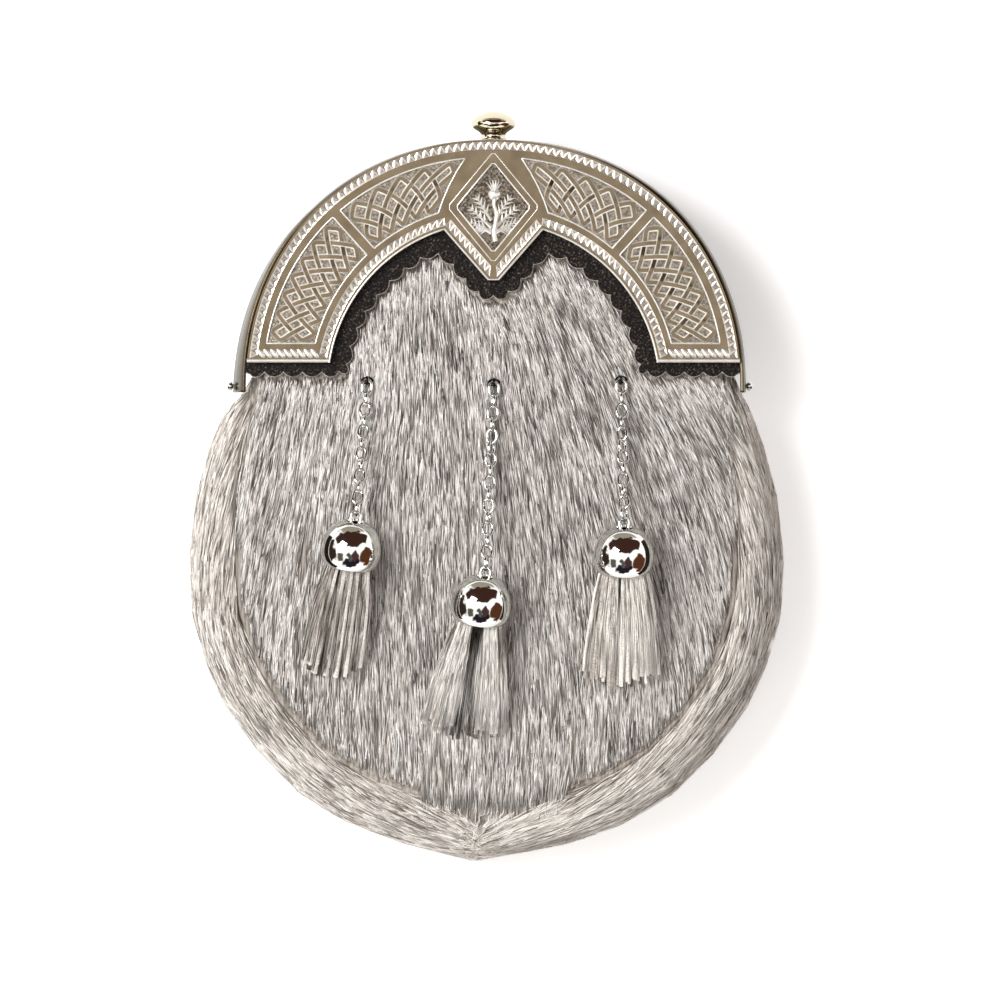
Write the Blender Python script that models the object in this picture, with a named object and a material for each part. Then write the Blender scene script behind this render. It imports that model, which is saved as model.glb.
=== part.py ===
"""Dress sporran pouch, lying on its back: front face up (+Z), finial towards +Y, origin under its middle.

Metres, +Z up. The pouch is a hollow bag: a crowned hair-on front panel, two half gussets round the sides
and bottom, a leather top gusset inside a metal frame band, and a leather back with a flap over its mouth.
A cast cantle sits on a scalloped leather apron at the top, and three chains carry capped tassels.
"""
import math

import bmesh
import bpy
from mathutils import Matrix, Vector

MM = 0.001
GAP = 0.3 * MM                      # clearance between pieces that touch on the real object

# Heights of the layers, from the surface that the pouch lies on
FRONT_SEAM_Z = 36.0 * MM            # outer face of the front panel at its seam
GIRTH_Z = 18.0 * MM                 # height of the widest line of the bag
HIDE_WALL = 3.0 * MM                # hair-on hide with its pile
CROWN = 6.0 * MM                    # rise of the front panel in the middle
SEAM_CLEARANCE = 1.2 * MM           # the panel's edge stands this far inside the gusset's
END_CLEARANCE = 0.75 * MM           # each half gusset ends this far short of the bottom seam
SEAM_GROOVE = 1.6 * MM              # how deep the seam sinks between panel and gusset
SEAM_GROOVE_WIDTH = 2.5 * MM        # distance from the seam over which the groove fades
BACK_WALL = 2.3 * MM
BACK_INSET = 1.2 * MM               # from the foot of the gusset's curve to the back panel's edge
FLAP_WALL = 1.7 * MM
APRON_WALL = 1.4 * MM
CANTLE_WALL = 3.0 * MM
RELIEF = 0.8 * MM                   # depth of the cast panels
BACK_Z = HIDE_WALL + GAP            # outer face of the back panel
FLAP_Z = BACK_Z - GAP - FLAP_WALL
APRON_Z = FRONT_SEAM_Z + 0.9 * MM   # the crowned hide just under it bears on its free edge
CANTLE_Z = APRON_Z + APRON_WALL + GAP

# Cantle: a superelliptic arch with straight feet and a diamond in the middle
CANTLE_X = 2.3 * MM                 # the cantle stands a little right of the bag's middle
CANTLE_Y = 32.7 * MM                # centre of the arch
CANTLE_HALF_WIDTH = 82.9 * MM
CANTLE_RISE = 83.1 * MM
ARCH_POWER = 2.1                    # 2 is an ellipse; the shoulders are a little fuller
FOOT_Y = 41.2 * MM
ARCH_STEPS = 28
INNER_RADIUS = 55.4 * MM
INNER_STEPS = 9
BORDER_WIDTH = 5.8 * MM             # milled border and flat band outside the cast panels
INNER_BORDER_WIDTH = 6.0 * MM
FOOT_BORDER = 6.4 * MM
PANEL_SPLIT_DEG = 48.0              # angle of the divider band between two cast panels
DIVIDER_WIDTH = 3.3 * MM
UPPER_OUTER_DEG = 83.0              # ends of the upper panels, along the diamond
UPPER_INNER_DEG = 72.6
PANEL_STEPS = 5
DIAMOND_Y = 93.2 * MM
DIAMOND_HALF_WIDTH = 15.5 * MM      # outer edge of the flat band round the diamond
DIAMOND_HALF_HEIGHT = 18.9 * MM
DIAMOND_BAND = 2.3 * MM
NOTCH_X = 17.4 * MM                 # where the inner arch turns down to the cantle's point
NOTCH_Y = 86.6 * MM
POINT_Y = 68.7 * MM
POINT_HALF_WIDTH = 1.8 * MM
POINT_WIDENING = 0.45               # of the blunt point, for each unit that the edge is moved inwards
STRAP_WIDTH = 1.7 * MM              # interlaced straps of the cast panels
STRAP_MARGIN = 2.2 * MM             # from a panel's edge to the middle of a strap's loops
STRAP_STEPS = 10
STRAP_HEIGHTS = (0.75, 0.6)         # shares of the relief, so that one strap passes over the other
LOWER_STRAPS = (15.5, 43.5, 2.5)    # first and last angle in degrees, and waves between them
UPPER_STRAPS = (52.5, 73.0, 2.0)
THISTLE_HEIGHT = 0.7                # share of the relief
RELIEF_ROOT = 0.6 * MM              # how deep the raised work is set into the sunk ground

# Outlines about the diamond's centre, in millimetres: the stem with its head, and the right-hand leaf
THISTLE_HEAD = ((-0.9, -5.0), (0.9, -5.0), (0.7, 1.2), (1.9, 3.0), (1.6, 5.0), (2.6, 8.0), (0.9, 6.9),
                (0.0, 8.6), (-0.9, 6.9), (-2.6, 8.0), (-1.6, 5.0), (-1.9, 3.0), (-0.7, 1.2))
THISTLE_LEAF = ((1.3, -5.4), (3.4, -3.9), (6.0, -3.4), (5.2, -1.8), (8.3, 0.2), (6.0, 0.6), (6.6, 3.4),
                (4.4, 1.9), (3.6, 4.4), (2.9, 0.6), (2.4, -2.0))

# Finial on the cantle's top edge
KNOB_SIDES = 14
KNOB_DROP = 3.0 * MM                # its axis lies this far under the cantle's back
KNOB_PROFILE = (
    # radius, height in millimetres
    (0.0, 0.0), (4.3, 0.0), (4.2, 1.3), (5.1, 2.6), (7.0, 3.9), (7.45, 5.1), (6.9, 6.6), (5.2, 8.0),
    (2.8, 9.1), (0.0, 9.5),
)

# Scalloped apron
SCALLOP_PITCH = 6.3 * MM
SCALLOP_DEPTH = 1.5 * MM
SCALLOP_STEPS = 3
APRON_REACH = 6.2 * MM              # how far it shows past the cantle's inner edge
APRON_LOW_Y = 37.0 * MM             # its edge under the cantle's feet
APRON_FOOT_STEP = 1.2 * MM          # the edge turns under the foot this far inside the arch's own line
APRON_SIDE_INSET = 2.0 * MM
APRON_SHOULDER_Y = 43.0 * MM
APRON_TOP_FOOT_Y = 45.0 * MM
APRON_STEPS = 24

# Half outline of the bag from under the cantle's foot to the bottom point, in millimetres:
# the front seam, the widest line, and how far the turned back rim runs in from the widest line.
HALF_OUTLINE = (
    # seam_x, seam_y, girth_x, girth_y, rim_in
    (77.2, 44.0, 80.2, 44.0, 8.0),
    (77.5, 34.0, 80.4, 34.0, 8.0),
    (78.0, 29.5, 84.6, 29.5, 9.0),
    (79.4, 23.5, 88.6, 23.0, 10.0),
    (81.2, 13.0, 92.6, 13.0, 12.0),
    (83.2, -3.0, 97.0, -3.5, 13.5),
    (84.2, -22.0, 99.4, -24.0, 14.0),
    (83.4, -41.0, 98.4, -43.5, 14.0),
    (79.8, -54.5, 93.8, -60.0, 14.0),
    (73.8, -66.0, 87.4, -74.0, 14.0),
    (64.8, -78.8, 76.6, -89.0, 14.0),
    (53.1, -90.3, 62.6, -103.2, 14.0),
    (40.5, -97.2, 47.0, -112.8, 14.5),
    (23.0, -103.3, 27.4, -120.0, 15.0),
    (-0.8, -105.9, -4.4, -125.6, 16.0),
)
MIDDLE_SHIFT_Y = 22.0 * MM          # the bag's middle moves to the cantle's axis above this height
RIM_FLANGE = 6.0 * MM               # width of the rim turned under the back
FRONT_TURNS_DEG = (1.0, 12.0, 30.0, 52.0, 74.0, 90.0)       # gusset's curve, seam to widest line
REAR_TURNS_DEG = (32.0, 62.0, 90.0)                         # widest line to turned rim
BAG_INSIDE = Vector((0.0, -20.0, 18.0)) * MM                # a point inside, which walls face away from

# Grid of the front panel: heights in millimetres, and shares of its half width
PANEL_ROWS_Y = (-105.5, -103.0, -97.0, -88.0, -76.0, -60.0, -38.0, -12.0, 10.0, 24.0, 38.0, 54.0, 72.0,
                90.0, 108.5)
PANEL_SHARES = (-1.0, -0.965, -0.85, -0.68, -0.5, -0.25, 0.0, 0.25, 0.5, 0.68, 0.85, 0.965, 1.0)
PANEL_SEAM_LOW_Y = -105.6 * MM      # the seam's lowest place

# Where the crown of the front panel ends towards the sides, in millimetres
CROWN_OUTLINE = (
    # height_y, half_width
    (72.0, 14.0),
    (54.0, 34.0),
    (34.0, 56.0),
    (12.0, 76.0),
    (-20.0, 86.0),
    (-60.0, 77.0),
    (-90.0, 53.0),
    (-106.0, 14.0),
)

CROWN_TOP_Y = 60.0 * MM
CROWN_BOTTOM_Y = -106.0 * MM
CROWN_FADE = 48.0 * MM              # length over which the crown rises from its two ends
CROWN_FULLNESS = 1.6                # power of the crown's cross-section: higher is more pointed

# Frame band behind the cantle: how far its rear edge stands out past the cantle, round the arch
BAND_STAND_OUT = (
    # angle_deg, stand_out_mm
    (0.0, 0.9),
    (45.0, 1.2),
    (90.0, -0.8),
    (135.0, 0.4),
    (160.0, 2.4),
    (180.0, 3.8),
)
BAND_WALL = 1.2 * MM
TOP_GUSSET_INSET = 3.4 * MM         # inside the cantle's edge, clear of the band
TOP_GUSSET_WALL = 2.0 * MM
TOP_GUSSET_FOOT_Y = 45.8 * MM
TOP_GUSSET_CORNER = 3.4 * MM        # between the wall and the rim turned under the back
TOP_GUSSET_FLANGE = 9.0 * MM
TOP_GUSSET_STEPS = 18
PANEL_INSET = TOP_GUSSET_INSET + TOP_GUSSET_WALL + 0.5 * MM
BAND_FLARE = 0.8 * MM               # the least that it spreads from its front edge to its rear one
BAND_DEPTH = 10.0 * MM
BAND_FOOT_Y = 31.2 * MM
BAND_STEPS = 24
BAND_FRONT_OUT = 0.3 * MM           # its front edge shows no further than this past the cantle

# Studs at the band's feet
FRAME_STUD_UP = 2.2 * MM            # above the band's foot
FRAME_STUD_BACK = 8.2 * MM          # behind the cantle
FRAME_STUD_GAP = 0.5 * MM           # from the flared band
FRAME_STUD_SIDES = 10
FRAME_STUD_PROFILE = (
    # radius, height in millimetres
    (0.0, 0.0), (0.8, 0.0), (0.8, 1.0), (1.6, 1.3), (1.6, 2.2), (0.96, 2.8), (0.0, 2.9),
)

# Back panel, its opening, flap and stud
BACK_TOP_FOOT_Y = 46.5 * MM         # where the back panel's arch begins
BACK_STEPS = 16
MOUTH_WIDTH = 92.0 * MM
MOUTH_HEIGHT = 20.0 * MM
MOUTH_Y = 62.0 * MM
MOUTH_STEPS = 6                     # of each rounded end
FLAP_TOP_RADIUS = 66.0 * MM
FLAP_HALF_WIDTH = 58.0 * MM
FLAP_BOTTOM_Y = 24.0 * MM
FLAP_CORNER = 20.0 * MM
FLAP_ARCH_STEPS = 14
FLAP_CORNER_STEPS = 5
STUD_RADIUS = 6.0 * MM
STUD_SIDES = 12
STUD_Y = 34.0 * MM

# Chains, staples, caps and tassels
LINK_LENGTH = 5.5 * MM
LINK_WIDTH = 4.4 * MM
LINK_WIRE = 0.95 * MM
LINK_PITCH = 4.0 * MM
LINK_SIDES = 10
WIRE_SIDES = 5
CHAIN_LIFT = 2.7 * MM               # the chain's middle over the hide where it lies flat
CHAIN_FLAT_SHARE = 0.12             # of its length, before it rises to the cap
CHAIN_STEPS = 60
FIRST_LINK_IN = 1.2 * MM            # middle of the first link from the eye
LAST_LINK_OUT = 0.7 * MM            # middle of the last link over the cap's hole
STAPLE_HALF_SPAN = 1.25 * MM
STAPLE_WIRE_RADIUS = 0.4 * MM
STAPLE_ABOVE_EYE = 1.1 * MM         # its middle over the end of the first link
STAPLE_OVER_CHAIN = 1.3 * MM        # its top over the chain's middle
STAPLE_SHOULDER = 0.6 * MM
CAP_RADIUS = 10.2 * MM
CAP_HEIGHT = 15.3 * MM
CAP_WALL = 0.8 * MM
CAP_HOLE = 2.75 * MM
CAP_SIDES = 12
CAP_TILT_DEG = 17.0                 # the caps lie with their tops raised
CAP_SEAT = 4.0 * MM                 # half width of the strip of hide that a cap rests on
CAP_PROFILE = (
    # radius, height as shares of the cap's own
    (0.88, 0.0), (0.98, 0.15), (0.99, 0.38), (0.9, 0.61), (0.72, 0.8), (0.5, 0.925), (0.3, 0.985),
)

# Fringes: a plug that fills the cap, and flat locks fused to it
PLUG_RADIUS = 0.77 * CAP_RADIUS
PLUG_SIDES = 10
PLUG_OUT = 1.0 * MM                 # how far it stands out of the rim
PLUG_DOWN = 1.2 * MM                # its top stays this far under the cap's own curve
LOCK_RING = 0.54 * CAP_RADIUS       # the locks start in this ring round the cap's axis
LOCK_IN = 1.5 * MM                  # inside the rim
LOCK_WIDTH = 6.4 * MM
LOCK_THICKNESS = 2.4 * MM
LOCK_STEPS = 3
LOCK_LIFT = 2.2 * MM                # of the lowest tips over the hide
LOCK_STACK = 1.6 * MM               # how much higher each of the upper tips lies
LOCK_OUTER_SHORT = 0.08             # share by which the outer locks are shorter
LOCK_BEND_SPREAD = 0.16             # shares of the spread and of the drop at the bend in their middle
LOCK_BEND_DROP = 0.62

# One row for each hanging ornament, in millimetres and degrees
ORNAMENTS = (
    # side, eye_x, eye_y, cap_x, cap_y, lean_deg, spread, length, locks
    ("left", -40.0, 34.0, -44.9, -19.0, 9.0, 19.0, 39.2, 7),
    ("centre", 2.5, 33.3, -1.5, -37.5, 8.0, 28.0, 40.5, 7),
    ("right", 45.1, 34.3, 45.8, -21.1, 1.0, 23.3, 39.0, 7),
)


# ---------------------------------------------------------------- helpers

def clear_scene():
    """Remove every object."""
    for item in list(bpy.data.objects):
        bpy.data.objects.remove(item, do_unlink=True)


def make_material(name, colour, roughness, metallic):
    """Material with one colour in linear light."""
    finish = bpy.data.materials.new(name)
    finish.use_nodes = True
    shader = finish.node_tree.nodes["Principled BSDF"]
    shader.inputs["Base Color"].default_value = (*colour, 1.0)
    shader.inputs["Roughness"].default_value = roughness
    shader.inputs["Metallic"].default_value = metallic
    finish.diffuse_color = (*colour, 1.0)
    return finish


def add_object(name, bm, finish, smooth_deg=35.0, helper=False):
    """Make an object of a bmesh; a helper is a tool for a Boolean and not part of the pouch."""
    bmesh.ops.recalc_face_normals(bm, faces=bm.faces)
    mesh = bpy.data.meshes.new(name)
    bm.to_mesh(mesh)
    bm.free()
    mesh.shade_smooth()
    mesh.set_sharp_from_angle(angle=math.radians(smooth_deg))
    item = bpy.data.objects.new(name, mesh)
    bpy.context.scene.collection.objects.link(item)
    if finish is not None:
        mesh.materials.append(finish)
    if helper:
        item.hide_render = True
        item.display_type = 'WIRE'
    return item


def look_up(rows, value):
    """Second column of a two-column table at a value of its first, straight between rows."""
    ordered = sorted(rows)
    if value <= ordered[0][0]:
        return ordered[0][1]
    for (low, first), (high, second) in zip(ordered, ordered[1:]):
        if value <= high:
            return first + (second - first) * (value - low) / (high - low)
    return ordered[-1][1]


def arch_point(angle, half_width, rise):
    """Point of a superelliptic arch; angle 0 is its right foot, pi its left one."""
    cosine, sine = math.cos(angle), math.sin(angle)
    reach = abs(cosine / half_width) ** ARCH_POWER + abs(sine / rise) ** ARCH_POWER
    radius = reach ** (-1.0 / ARCH_POWER)
    return Vector((CANTLE_X + radius * cosine, CANTLE_Y + radius * sine))


def arch_angle_at_height(height, half_width, rise):
    """Angle of the right-hand arch point that lies at a height above the arch's centre."""
    across = half_width * (1.0 - abs(height / rise) ** ARCH_POWER) ** (1.0 / ARCH_POWER)
    return math.atan2(height, across)


def sheet_object(name, grid, thickness, finish):
    """A wall whose outer face runs through the grid's points, thickened inwards."""
    bm = bmesh.new()
    rows = [[bm.verts.new(point) for point in row] for row in grid]
    for lower, upper in zip(rows, rows[1:]):
        for index in range(len(lower) - 1):
            bm.faces.new((lower[index], lower[index + 1], upper[index + 1], upper[index]))
    item = add_object(name, bm, finish, smooth_deg=50.0)
    outward = sum((face.normal * face.area for face in item.data.polygons), Vector())
    middle = grid[len(grid) // 2][len(grid[0]) // 2]
    if outward.dot(Vector(middle) - BAG_INSIDE) < 0.0:
        item.data.flip_normals()
    wall = item.modifiers.new("Wall", 'SOLIDIFY')
    wall.thickness = thickness
    wall.offset = -1.0
    wall.use_even_offset = True
    return item


def plate_mesh(outline, low, high):
    """Flat plate between two heights, from its outline."""
    bm = bmesh.new()
    face = bm.faces.new([bm.verts.new((point[0], point[1], low)) for point in outline])
    raised = bmesh.ops.extrude_face_region(bm, geom=[face])
    top = [item for item in raised["geom"] if isinstance(item, bmesh.types.BMVert)]
    bmesh.ops.translate(bm, verts=top, vec=(0.0, 0.0, high - low))
    return bm


def turned_mesh(profile, sides, closed_profile=False):
    """A profile of (radius, height) turned round Z; radius 0 closes an end."""
    bm = bmesh.new()
    points = [bm.verts.new((radius, 0.0, height)) for radius, height in profile]
    edges = [bm.edges.new(pair) for pair in zip(points, points[1:])]
    if closed_profile:
        edges.append(bm.edges.new((points[-1], points[0])))
    bmesh.ops.spin(bm, geom=points + edges, cent=(0, 0, 0), axis=(0, 0, 1), angle=math.tau,
                   steps=sides, use_merge=True)
    bmesh.ops.remove_doubles(bm, verts=bm.verts, dist=0.01 * MM)
    return bm


def add_modifier_boolean(item, operation, cutter=None, group=None):
    """Add or cut a helper object, or a whole collection of them."""
    cut = item.modifiers.new(operation.title(), 'BOOLEAN')
    cut.operation = operation
    cut.solver = 'EXACT'
    if group is not None:
        cut.operand_type = 'COLLECTION'
        cut.collection = group
    else:
        cut.object = cutter


def helper_group(name, items):
    """Move helper objects into a collection of their own, for a Boolean to read."""
    group = bpy.data.collections.new(name)
    bpy.context.scene.collection.children.link(group)
    for item in items:
        bpy.context.scene.collection.objects.unlink(item)
        group.objects.link(item)
    return group


# ---------------------------------------------------------------- the bag

def outline_stations():
    """Stations of the half outline: seam point, outward direction, reach to the girth, rim inset."""
    stations = []
    for seam_x, seam_y, girth_x, girth_y, rim_in in HALF_OUTLINE:
        seam = Vector((seam_x, seam_y)) * MM
        reach = Vector((girth_x, girth_y)) * MM - seam
        stations.append((seam, reach.normalized(), reach.length, rim_in * MM))
    return stations


def panel_half_width(y):
    """Half width of the front panel at a height, measured from the middle of the bag."""
    if y > CANTLE_Y:
        arch_width, arch_rise = CANTLE_HALF_WIDTH - PANEL_INSET, CANTLE_RISE - PANEL_INSET
        height = (y - CANTLE_Y) / arch_rise
        return arch_width * (1.0 - height ** ARCH_POWER) ** (1.0 / ARCH_POWER)
    rows = [(seam[1], seam[0]) for seam, _, _, _ in outline_stations()]
    return look_up(rows, y) - SEAM_CLEARANCE


def bag_middle(y):
    """The bag's middle line moves over to the cantle's axis just below its feet."""
    return CANTLE_X * min(max((y - MIDDLE_SHIFT_Y) / (CANTLE_Y - MIDDLE_SHIFT_Y), 0.0), 1.0)


def front_height(x, y):
    """Height of the front panel's outer face."""
    half_crown = look_up([(row_y * MM, width * MM) for row_y, width in CROWN_OUTLINE], y)
    across = (x - bag_middle(y)) / half_crown
    dome = max(0.0, 1.0 - across * across) ** CROWN_FULLNESS
    top_fade = min(1.0, max(0.0, (CROWN_TOP_Y - y) / CROWN_FADE))
    bottom_fade = min(1.0, max(0.0, (y - CROWN_BOTTOM_Y) / CROWN_FADE))
    ends = math.sin(0.5 * math.pi * top_fade) * math.sin(0.5 * math.pi * bottom_fade)
    return FRONT_SEAM_Z + CROWN * dome * ends


def groove(distance):
    """How far the seam pulls the hide down at a distance from it."""
    return SEAM_GROOVE * math.exp(-(distance / SEAM_GROOVE_WIDTH) ** 2)


def front_panel(finish):
    """Crowned panel of hair-on hide that runs up under the cantle."""
    grid = []
    for row_y in PANEL_ROWS_Y:
        y = row_y * MM
        half = panel_half_width(y)
        row = []
        for share in PANEL_SHARES:
            x = bag_middle(y) + share * half
            edge = min(half * (1.0 - abs(share)), y - PANEL_SEAM_LOW_Y)
            sink = groove(edge) if y < CANTLE_Y else 0.0
            row.append((x, y, front_height(x, y) - sink))
        grid.append(row)
    return sheet_object("front_panel", grid, HIDE_WALL, finish)


def gusset_section(seam, outward, reach, rim_in, mirror):
    """Points from the front seam round the girth to the turned rim under the back."""
    section = []
    drop = FRONT_SEAM_Z - GIRTH_Z
    for degrees in FRONT_TURNS_DEG:
        turn = math.radians(degrees)
        out = GAP + (reach - GAP) * math.sin(turn)
        section.append((out, GIRTH_Z + drop * math.cos(turn) - groove(out)))
    for degrees in REAR_TURNS_DEG:
        turn = math.radians(degrees)
        section.append((reach - rim_in * (1.0 - math.cos(turn)), GIRTH_Z * (1.0 - math.sin(turn))))
    section.append((reach - rim_in - RIM_FLANGE, 0.0))
    side = -1.0 if mirror else 1.0
    middle = bag_middle(seam[1])
    points = []
    for out, z in section:
        across, up = seam + outward * out
        points.append((middle + across * side, up, z))
    return points


def gusset(name, finish, mirror):
    """One half of the gusset; the halves meet on the slanting seam at the bottom point."""
    grid = []
    stations = outline_stations()
    for seam, outward, reach, rim_in in stations:
        grid.append(gusset_section(seam, outward, reach, rim_in, mirror))
    if mirror:
        end = stations[-1]
        near = (Vector((-end[0][0], end[0][1])), Vector((-end[1][0], end[1][1])), end[2], end[3])
        grid[-1] = gusset_section(*near, mirror)
    side = -1.0 if mirror else 1.0
    grid[-1] = [(x + side * END_CLEARANCE, y, z) for x, y, z in grid[-1]]
    return sheet_object(name, grid, HIDE_WALL, finish)


def arch_angles(foot_height, half_width, rise, steps):
    """Evenly spaced angles of an arch whose feet stand at a height above its centre."""
    start = arch_angle_at_height(foot_height, half_width, rise)
    return [start + (math.pi - 2.0 * start) * step / steps for step in range(steps + 1)]


def top_gusset(finish):
    """Leather wall behind the cantle, with its rim turned under the back."""
    half_width, rise = CANTLE_HALF_WIDTH - TOP_GUSSET_INSET, CANTLE_RISE - TOP_GUSSET_INSET
    grid = []
    for angle in arch_angles(TOP_GUSSET_FOOT_Y - CANTLE_Y, half_width, rise, TOP_GUSSET_STEPS):
        outer = arch_point(angle, half_width, rise)
        inward = (Vector((CANTLE_X, CANTLE_Y)) - outer).normalized()
        row = []
        for step_in, z in ((0.0, CANTLE_Z - GAP), (0.0, TOP_GUSSET_CORNER), (TOP_GUSSET_CORNER, 0.0),
                           (TOP_GUSSET_FLANGE, 0.0)):
            spot = outer + inward * step_in
            row.append((spot[0], spot[1], z))
        grid.append(row)
    return sheet_object("top_gusset", grid, TOP_GUSSET_WALL, finish)


def band_edges(degrees):
    """How far the band's front and rear edges stand out past the cantle at an angle of the arch."""
    stand_out = look_up(BAND_STAND_OUT, degrees) * MM
    return min(stand_out - BAND_FLARE, BAND_FRONT_OUT), stand_out


def frame_band(finish):
    """Flared metal band that frames the bag's top, behind the cantle."""
    top_z = CANTLE_Z - GAP
    rows = []
    for step in range(BAND_STEPS + 1):
        degrees = 180.0 * step / BAND_STEPS
        spots = []
        for out in band_edges(degrees):
            spots.append(arch_point(math.radians(degrees), CANTLE_HALF_WIDTH + out, CANTLE_RISE + out))
        rows.append(spots)
    first = [Vector((spot[0], BAND_FOOT_Y)) for spot in rows[0]]
    last = [Vector((spot[0], BAND_FOOT_Y)) for spot in rows[-1]]
    grid = [[(upper[0], upper[1], top_z), (lower[0], lower[1], top_z - BAND_DEPTH)]
            for upper, lower in [first] + rows + [last]]
    return sheet_object("frame_band", grid, BAND_WALL, finish)


def frame_stud(name, finish, side):
    """Headed stud at the frame band's foot, which a carrying strap clips on to."""
    profile = [(radius * MM, height * MM) for radius, height in FRAME_STUD_PROFILE]
    item = add_object(name, turned_mesh(profile, FRAME_STUD_SIDES), finish)
    front, rear = band_edges(0.0 if side > 0 else 180.0)
    stand_out = front + (rear - front) * FRAME_STUD_BACK / BAND_DEPTH
    foot_x = CANTLE_X + side * (CANTLE_HALF_WIDTH + stand_out + FRAME_STUD_GAP)
    item.location = (foot_x, BAND_FOOT_Y + FRAME_STUD_UP, CANTLE_Z - GAP - FRAME_STUD_BACK)
    item.rotation_euler = (0.0, side * math.radians(90.0), 0.0)
    return item


def back_outline():
    """Edge of the back panel: it lies on the turned rims of the gussets."""
    right = []
    for seam, outward, reach, rim_in in outline_stations()[:-1]:
        right.append(seam + outward * (reach - rim_in - BACK_INSET))
    left = [Vector((bag_middle(spot[1]) - spot[0], spot[1])) for spot in reversed(right)]
    right = [Vector((bag_middle(spot[1]) + spot[0], spot[1])) for spot in right]
    inset = TOP_GUSSET_INSET + TOP_GUSSET_WALL + TOP_GUSSET_CORNER
    half_width, rise = CANTLE_HALF_WIDTH - inset, CANTLE_RISE - inset
    top = [arch_point(angle, half_width, rise)
           for angle in reversed(arch_angles(BACK_TOP_FOOT_Y - CANTLE_Y, half_width, rise, BACK_STEPS))]
    return right + left + top


def rounded_slot(width, height, centre_x, centre_y):
    """Outline of a slot with half-round ends."""
    radius = 0.5 * height
    points = []
    for side, start in ((1.0, -90.0), (-1.0, 90.0)):
        for step in range(MOUTH_STEPS + 1):
            turn = math.radians(start + 180.0 * step / MOUTH_STEPS)
            points.append((centre_x + side * (0.5 * width - radius) + radius * math.cos(turn),
                           centre_y + radius * math.sin(turn)))
    return points


def back_panel(finish):
    """Leather back with the pouch's mouth cut through it."""
    item = add_object("back_panel", plate_mesh(back_outline(), BACK_Z, BACK_Z + BACK_WALL), finish)
    slot = rounded_slot(MOUTH_WIDTH, MOUTH_HEIGHT, CANTLE_X, MOUTH_Y)
    cutter = add_object("mouth_cutter", plate_mesh(slot, 0.0, 3.0 * BACK_Z), None, helper=True)
    add_modifier_boolean(item, 'DIFFERENCE', cutter)
    return item


def back_flap(finish):
    """Flap over the mouth: an arch at the top, rounded corners below."""
    outline = []
    start = math.acos(FLAP_HALF_WIDTH / FLAP_TOP_RADIUS)
    for step in range(FLAP_ARCH_STEPS + 1):
        turn = start + (math.pi - 2.0 * start) * step / FLAP_ARCH_STEPS
        outline.append((CANTLE_X + FLAP_TOP_RADIUS * math.cos(turn),
                        CANTLE_Y + FLAP_TOP_RADIUS * math.sin(turn)))
    for side, first in ((-1.0, 180.0), (1.0, 270.0)):
        for step in range(FLAP_CORNER_STEPS + 1):
            turn = math.radians(first + 90.0 * step / FLAP_CORNER_STEPS)
            outline.append((CANTLE_X + side * (FLAP_HALF_WIDTH - FLAP_CORNER) + FLAP_CORNER * math.cos(turn),
                            FLAP_BOTTOM_Y + FLAP_CORNER + FLAP_CORNER * math.sin(turn)))
    return add_object("back_flap", plate_mesh(outline, FLAP_Z, FLAP_Z + FLAP_WALL), finish)


def flap_stud(finish):
    """Press stud's cap on the flap."""
    top = FLAP_Z - GAP
    profile = ((0.0, top), (STUD_RADIUS, top), (STUD_RADIUS, top - 0.4 * MM),
               (0.7 * STUD_RADIUS, top - 0.85 * MM), (0.0, top - 0.95 * MM))
    item = add_object("flap_stud", turned_mesh(profile, STUD_SIDES), finish)
    item.location = (CANTLE_X, STUD_Y, 0.0)
    return item


# ---------------------------------------------------------------- cantle and apron

def inner_edge(offset, steps_per_side):
    """Inner edge of the cantle from right foot to left, moved towards the middle by an offset."""
    radius = INNER_RADIUS - offset
    notch = Vector((NOTCH_X, NOTCH_Y - CANTLE_Y))
    slope = Vector((POINT_HALF_WIDTH, POINT_Y - CANTLE_Y)) - notch
    normal = Vector((-slope[1], slope[0])).normalized()
    if normal[0] < 0.0:
        normal = -normal
    start = math.asin((FOOT_Y - CANTLE_Y) / radius)
    line_point = notch + normal * offset
    direction = slope.normalized()
    along = line_point.dot(direction)
    across = line_point.length_squared - along * along
    meet = line_point - direction * (along + math.sqrt(max(radius * radius - across, 0.0)))
    end = math.atan2(meet[1], meet[0])
    right = []
    for step in range(steps_per_side + 1):
        turn = start + (end - start) * step / steps_per_side
        right.append(Vector((radius * math.cos(turn), radius * math.sin(turn))))
    low = Vector((POINT_HALF_WIDTH + POINT_WIDENING * offset, POINT_Y - CANTLE_Y - offset))
    right.append(low)
    left = [Vector((-spot[0], spot[1])) for spot in reversed(right)]
    centre = Vector((CANTLE_X, CANTLE_Y))
    return [centre + spot for spot in right + left]


def cantle_outline():
    """Outer arch of the cantle and its inner edge."""
    outer = [arch_point(angle, CANTLE_HALF_WIDTH, CANTLE_RISE)
             for angle in arch_angles(FOOT_Y - CANTLE_Y, CANTLE_HALF_WIDTH, CANTLE_RISE, ARCH_STEPS)]
    return outer + list(reversed(inner_edge(0.0, INNER_STEPS)))


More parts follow.
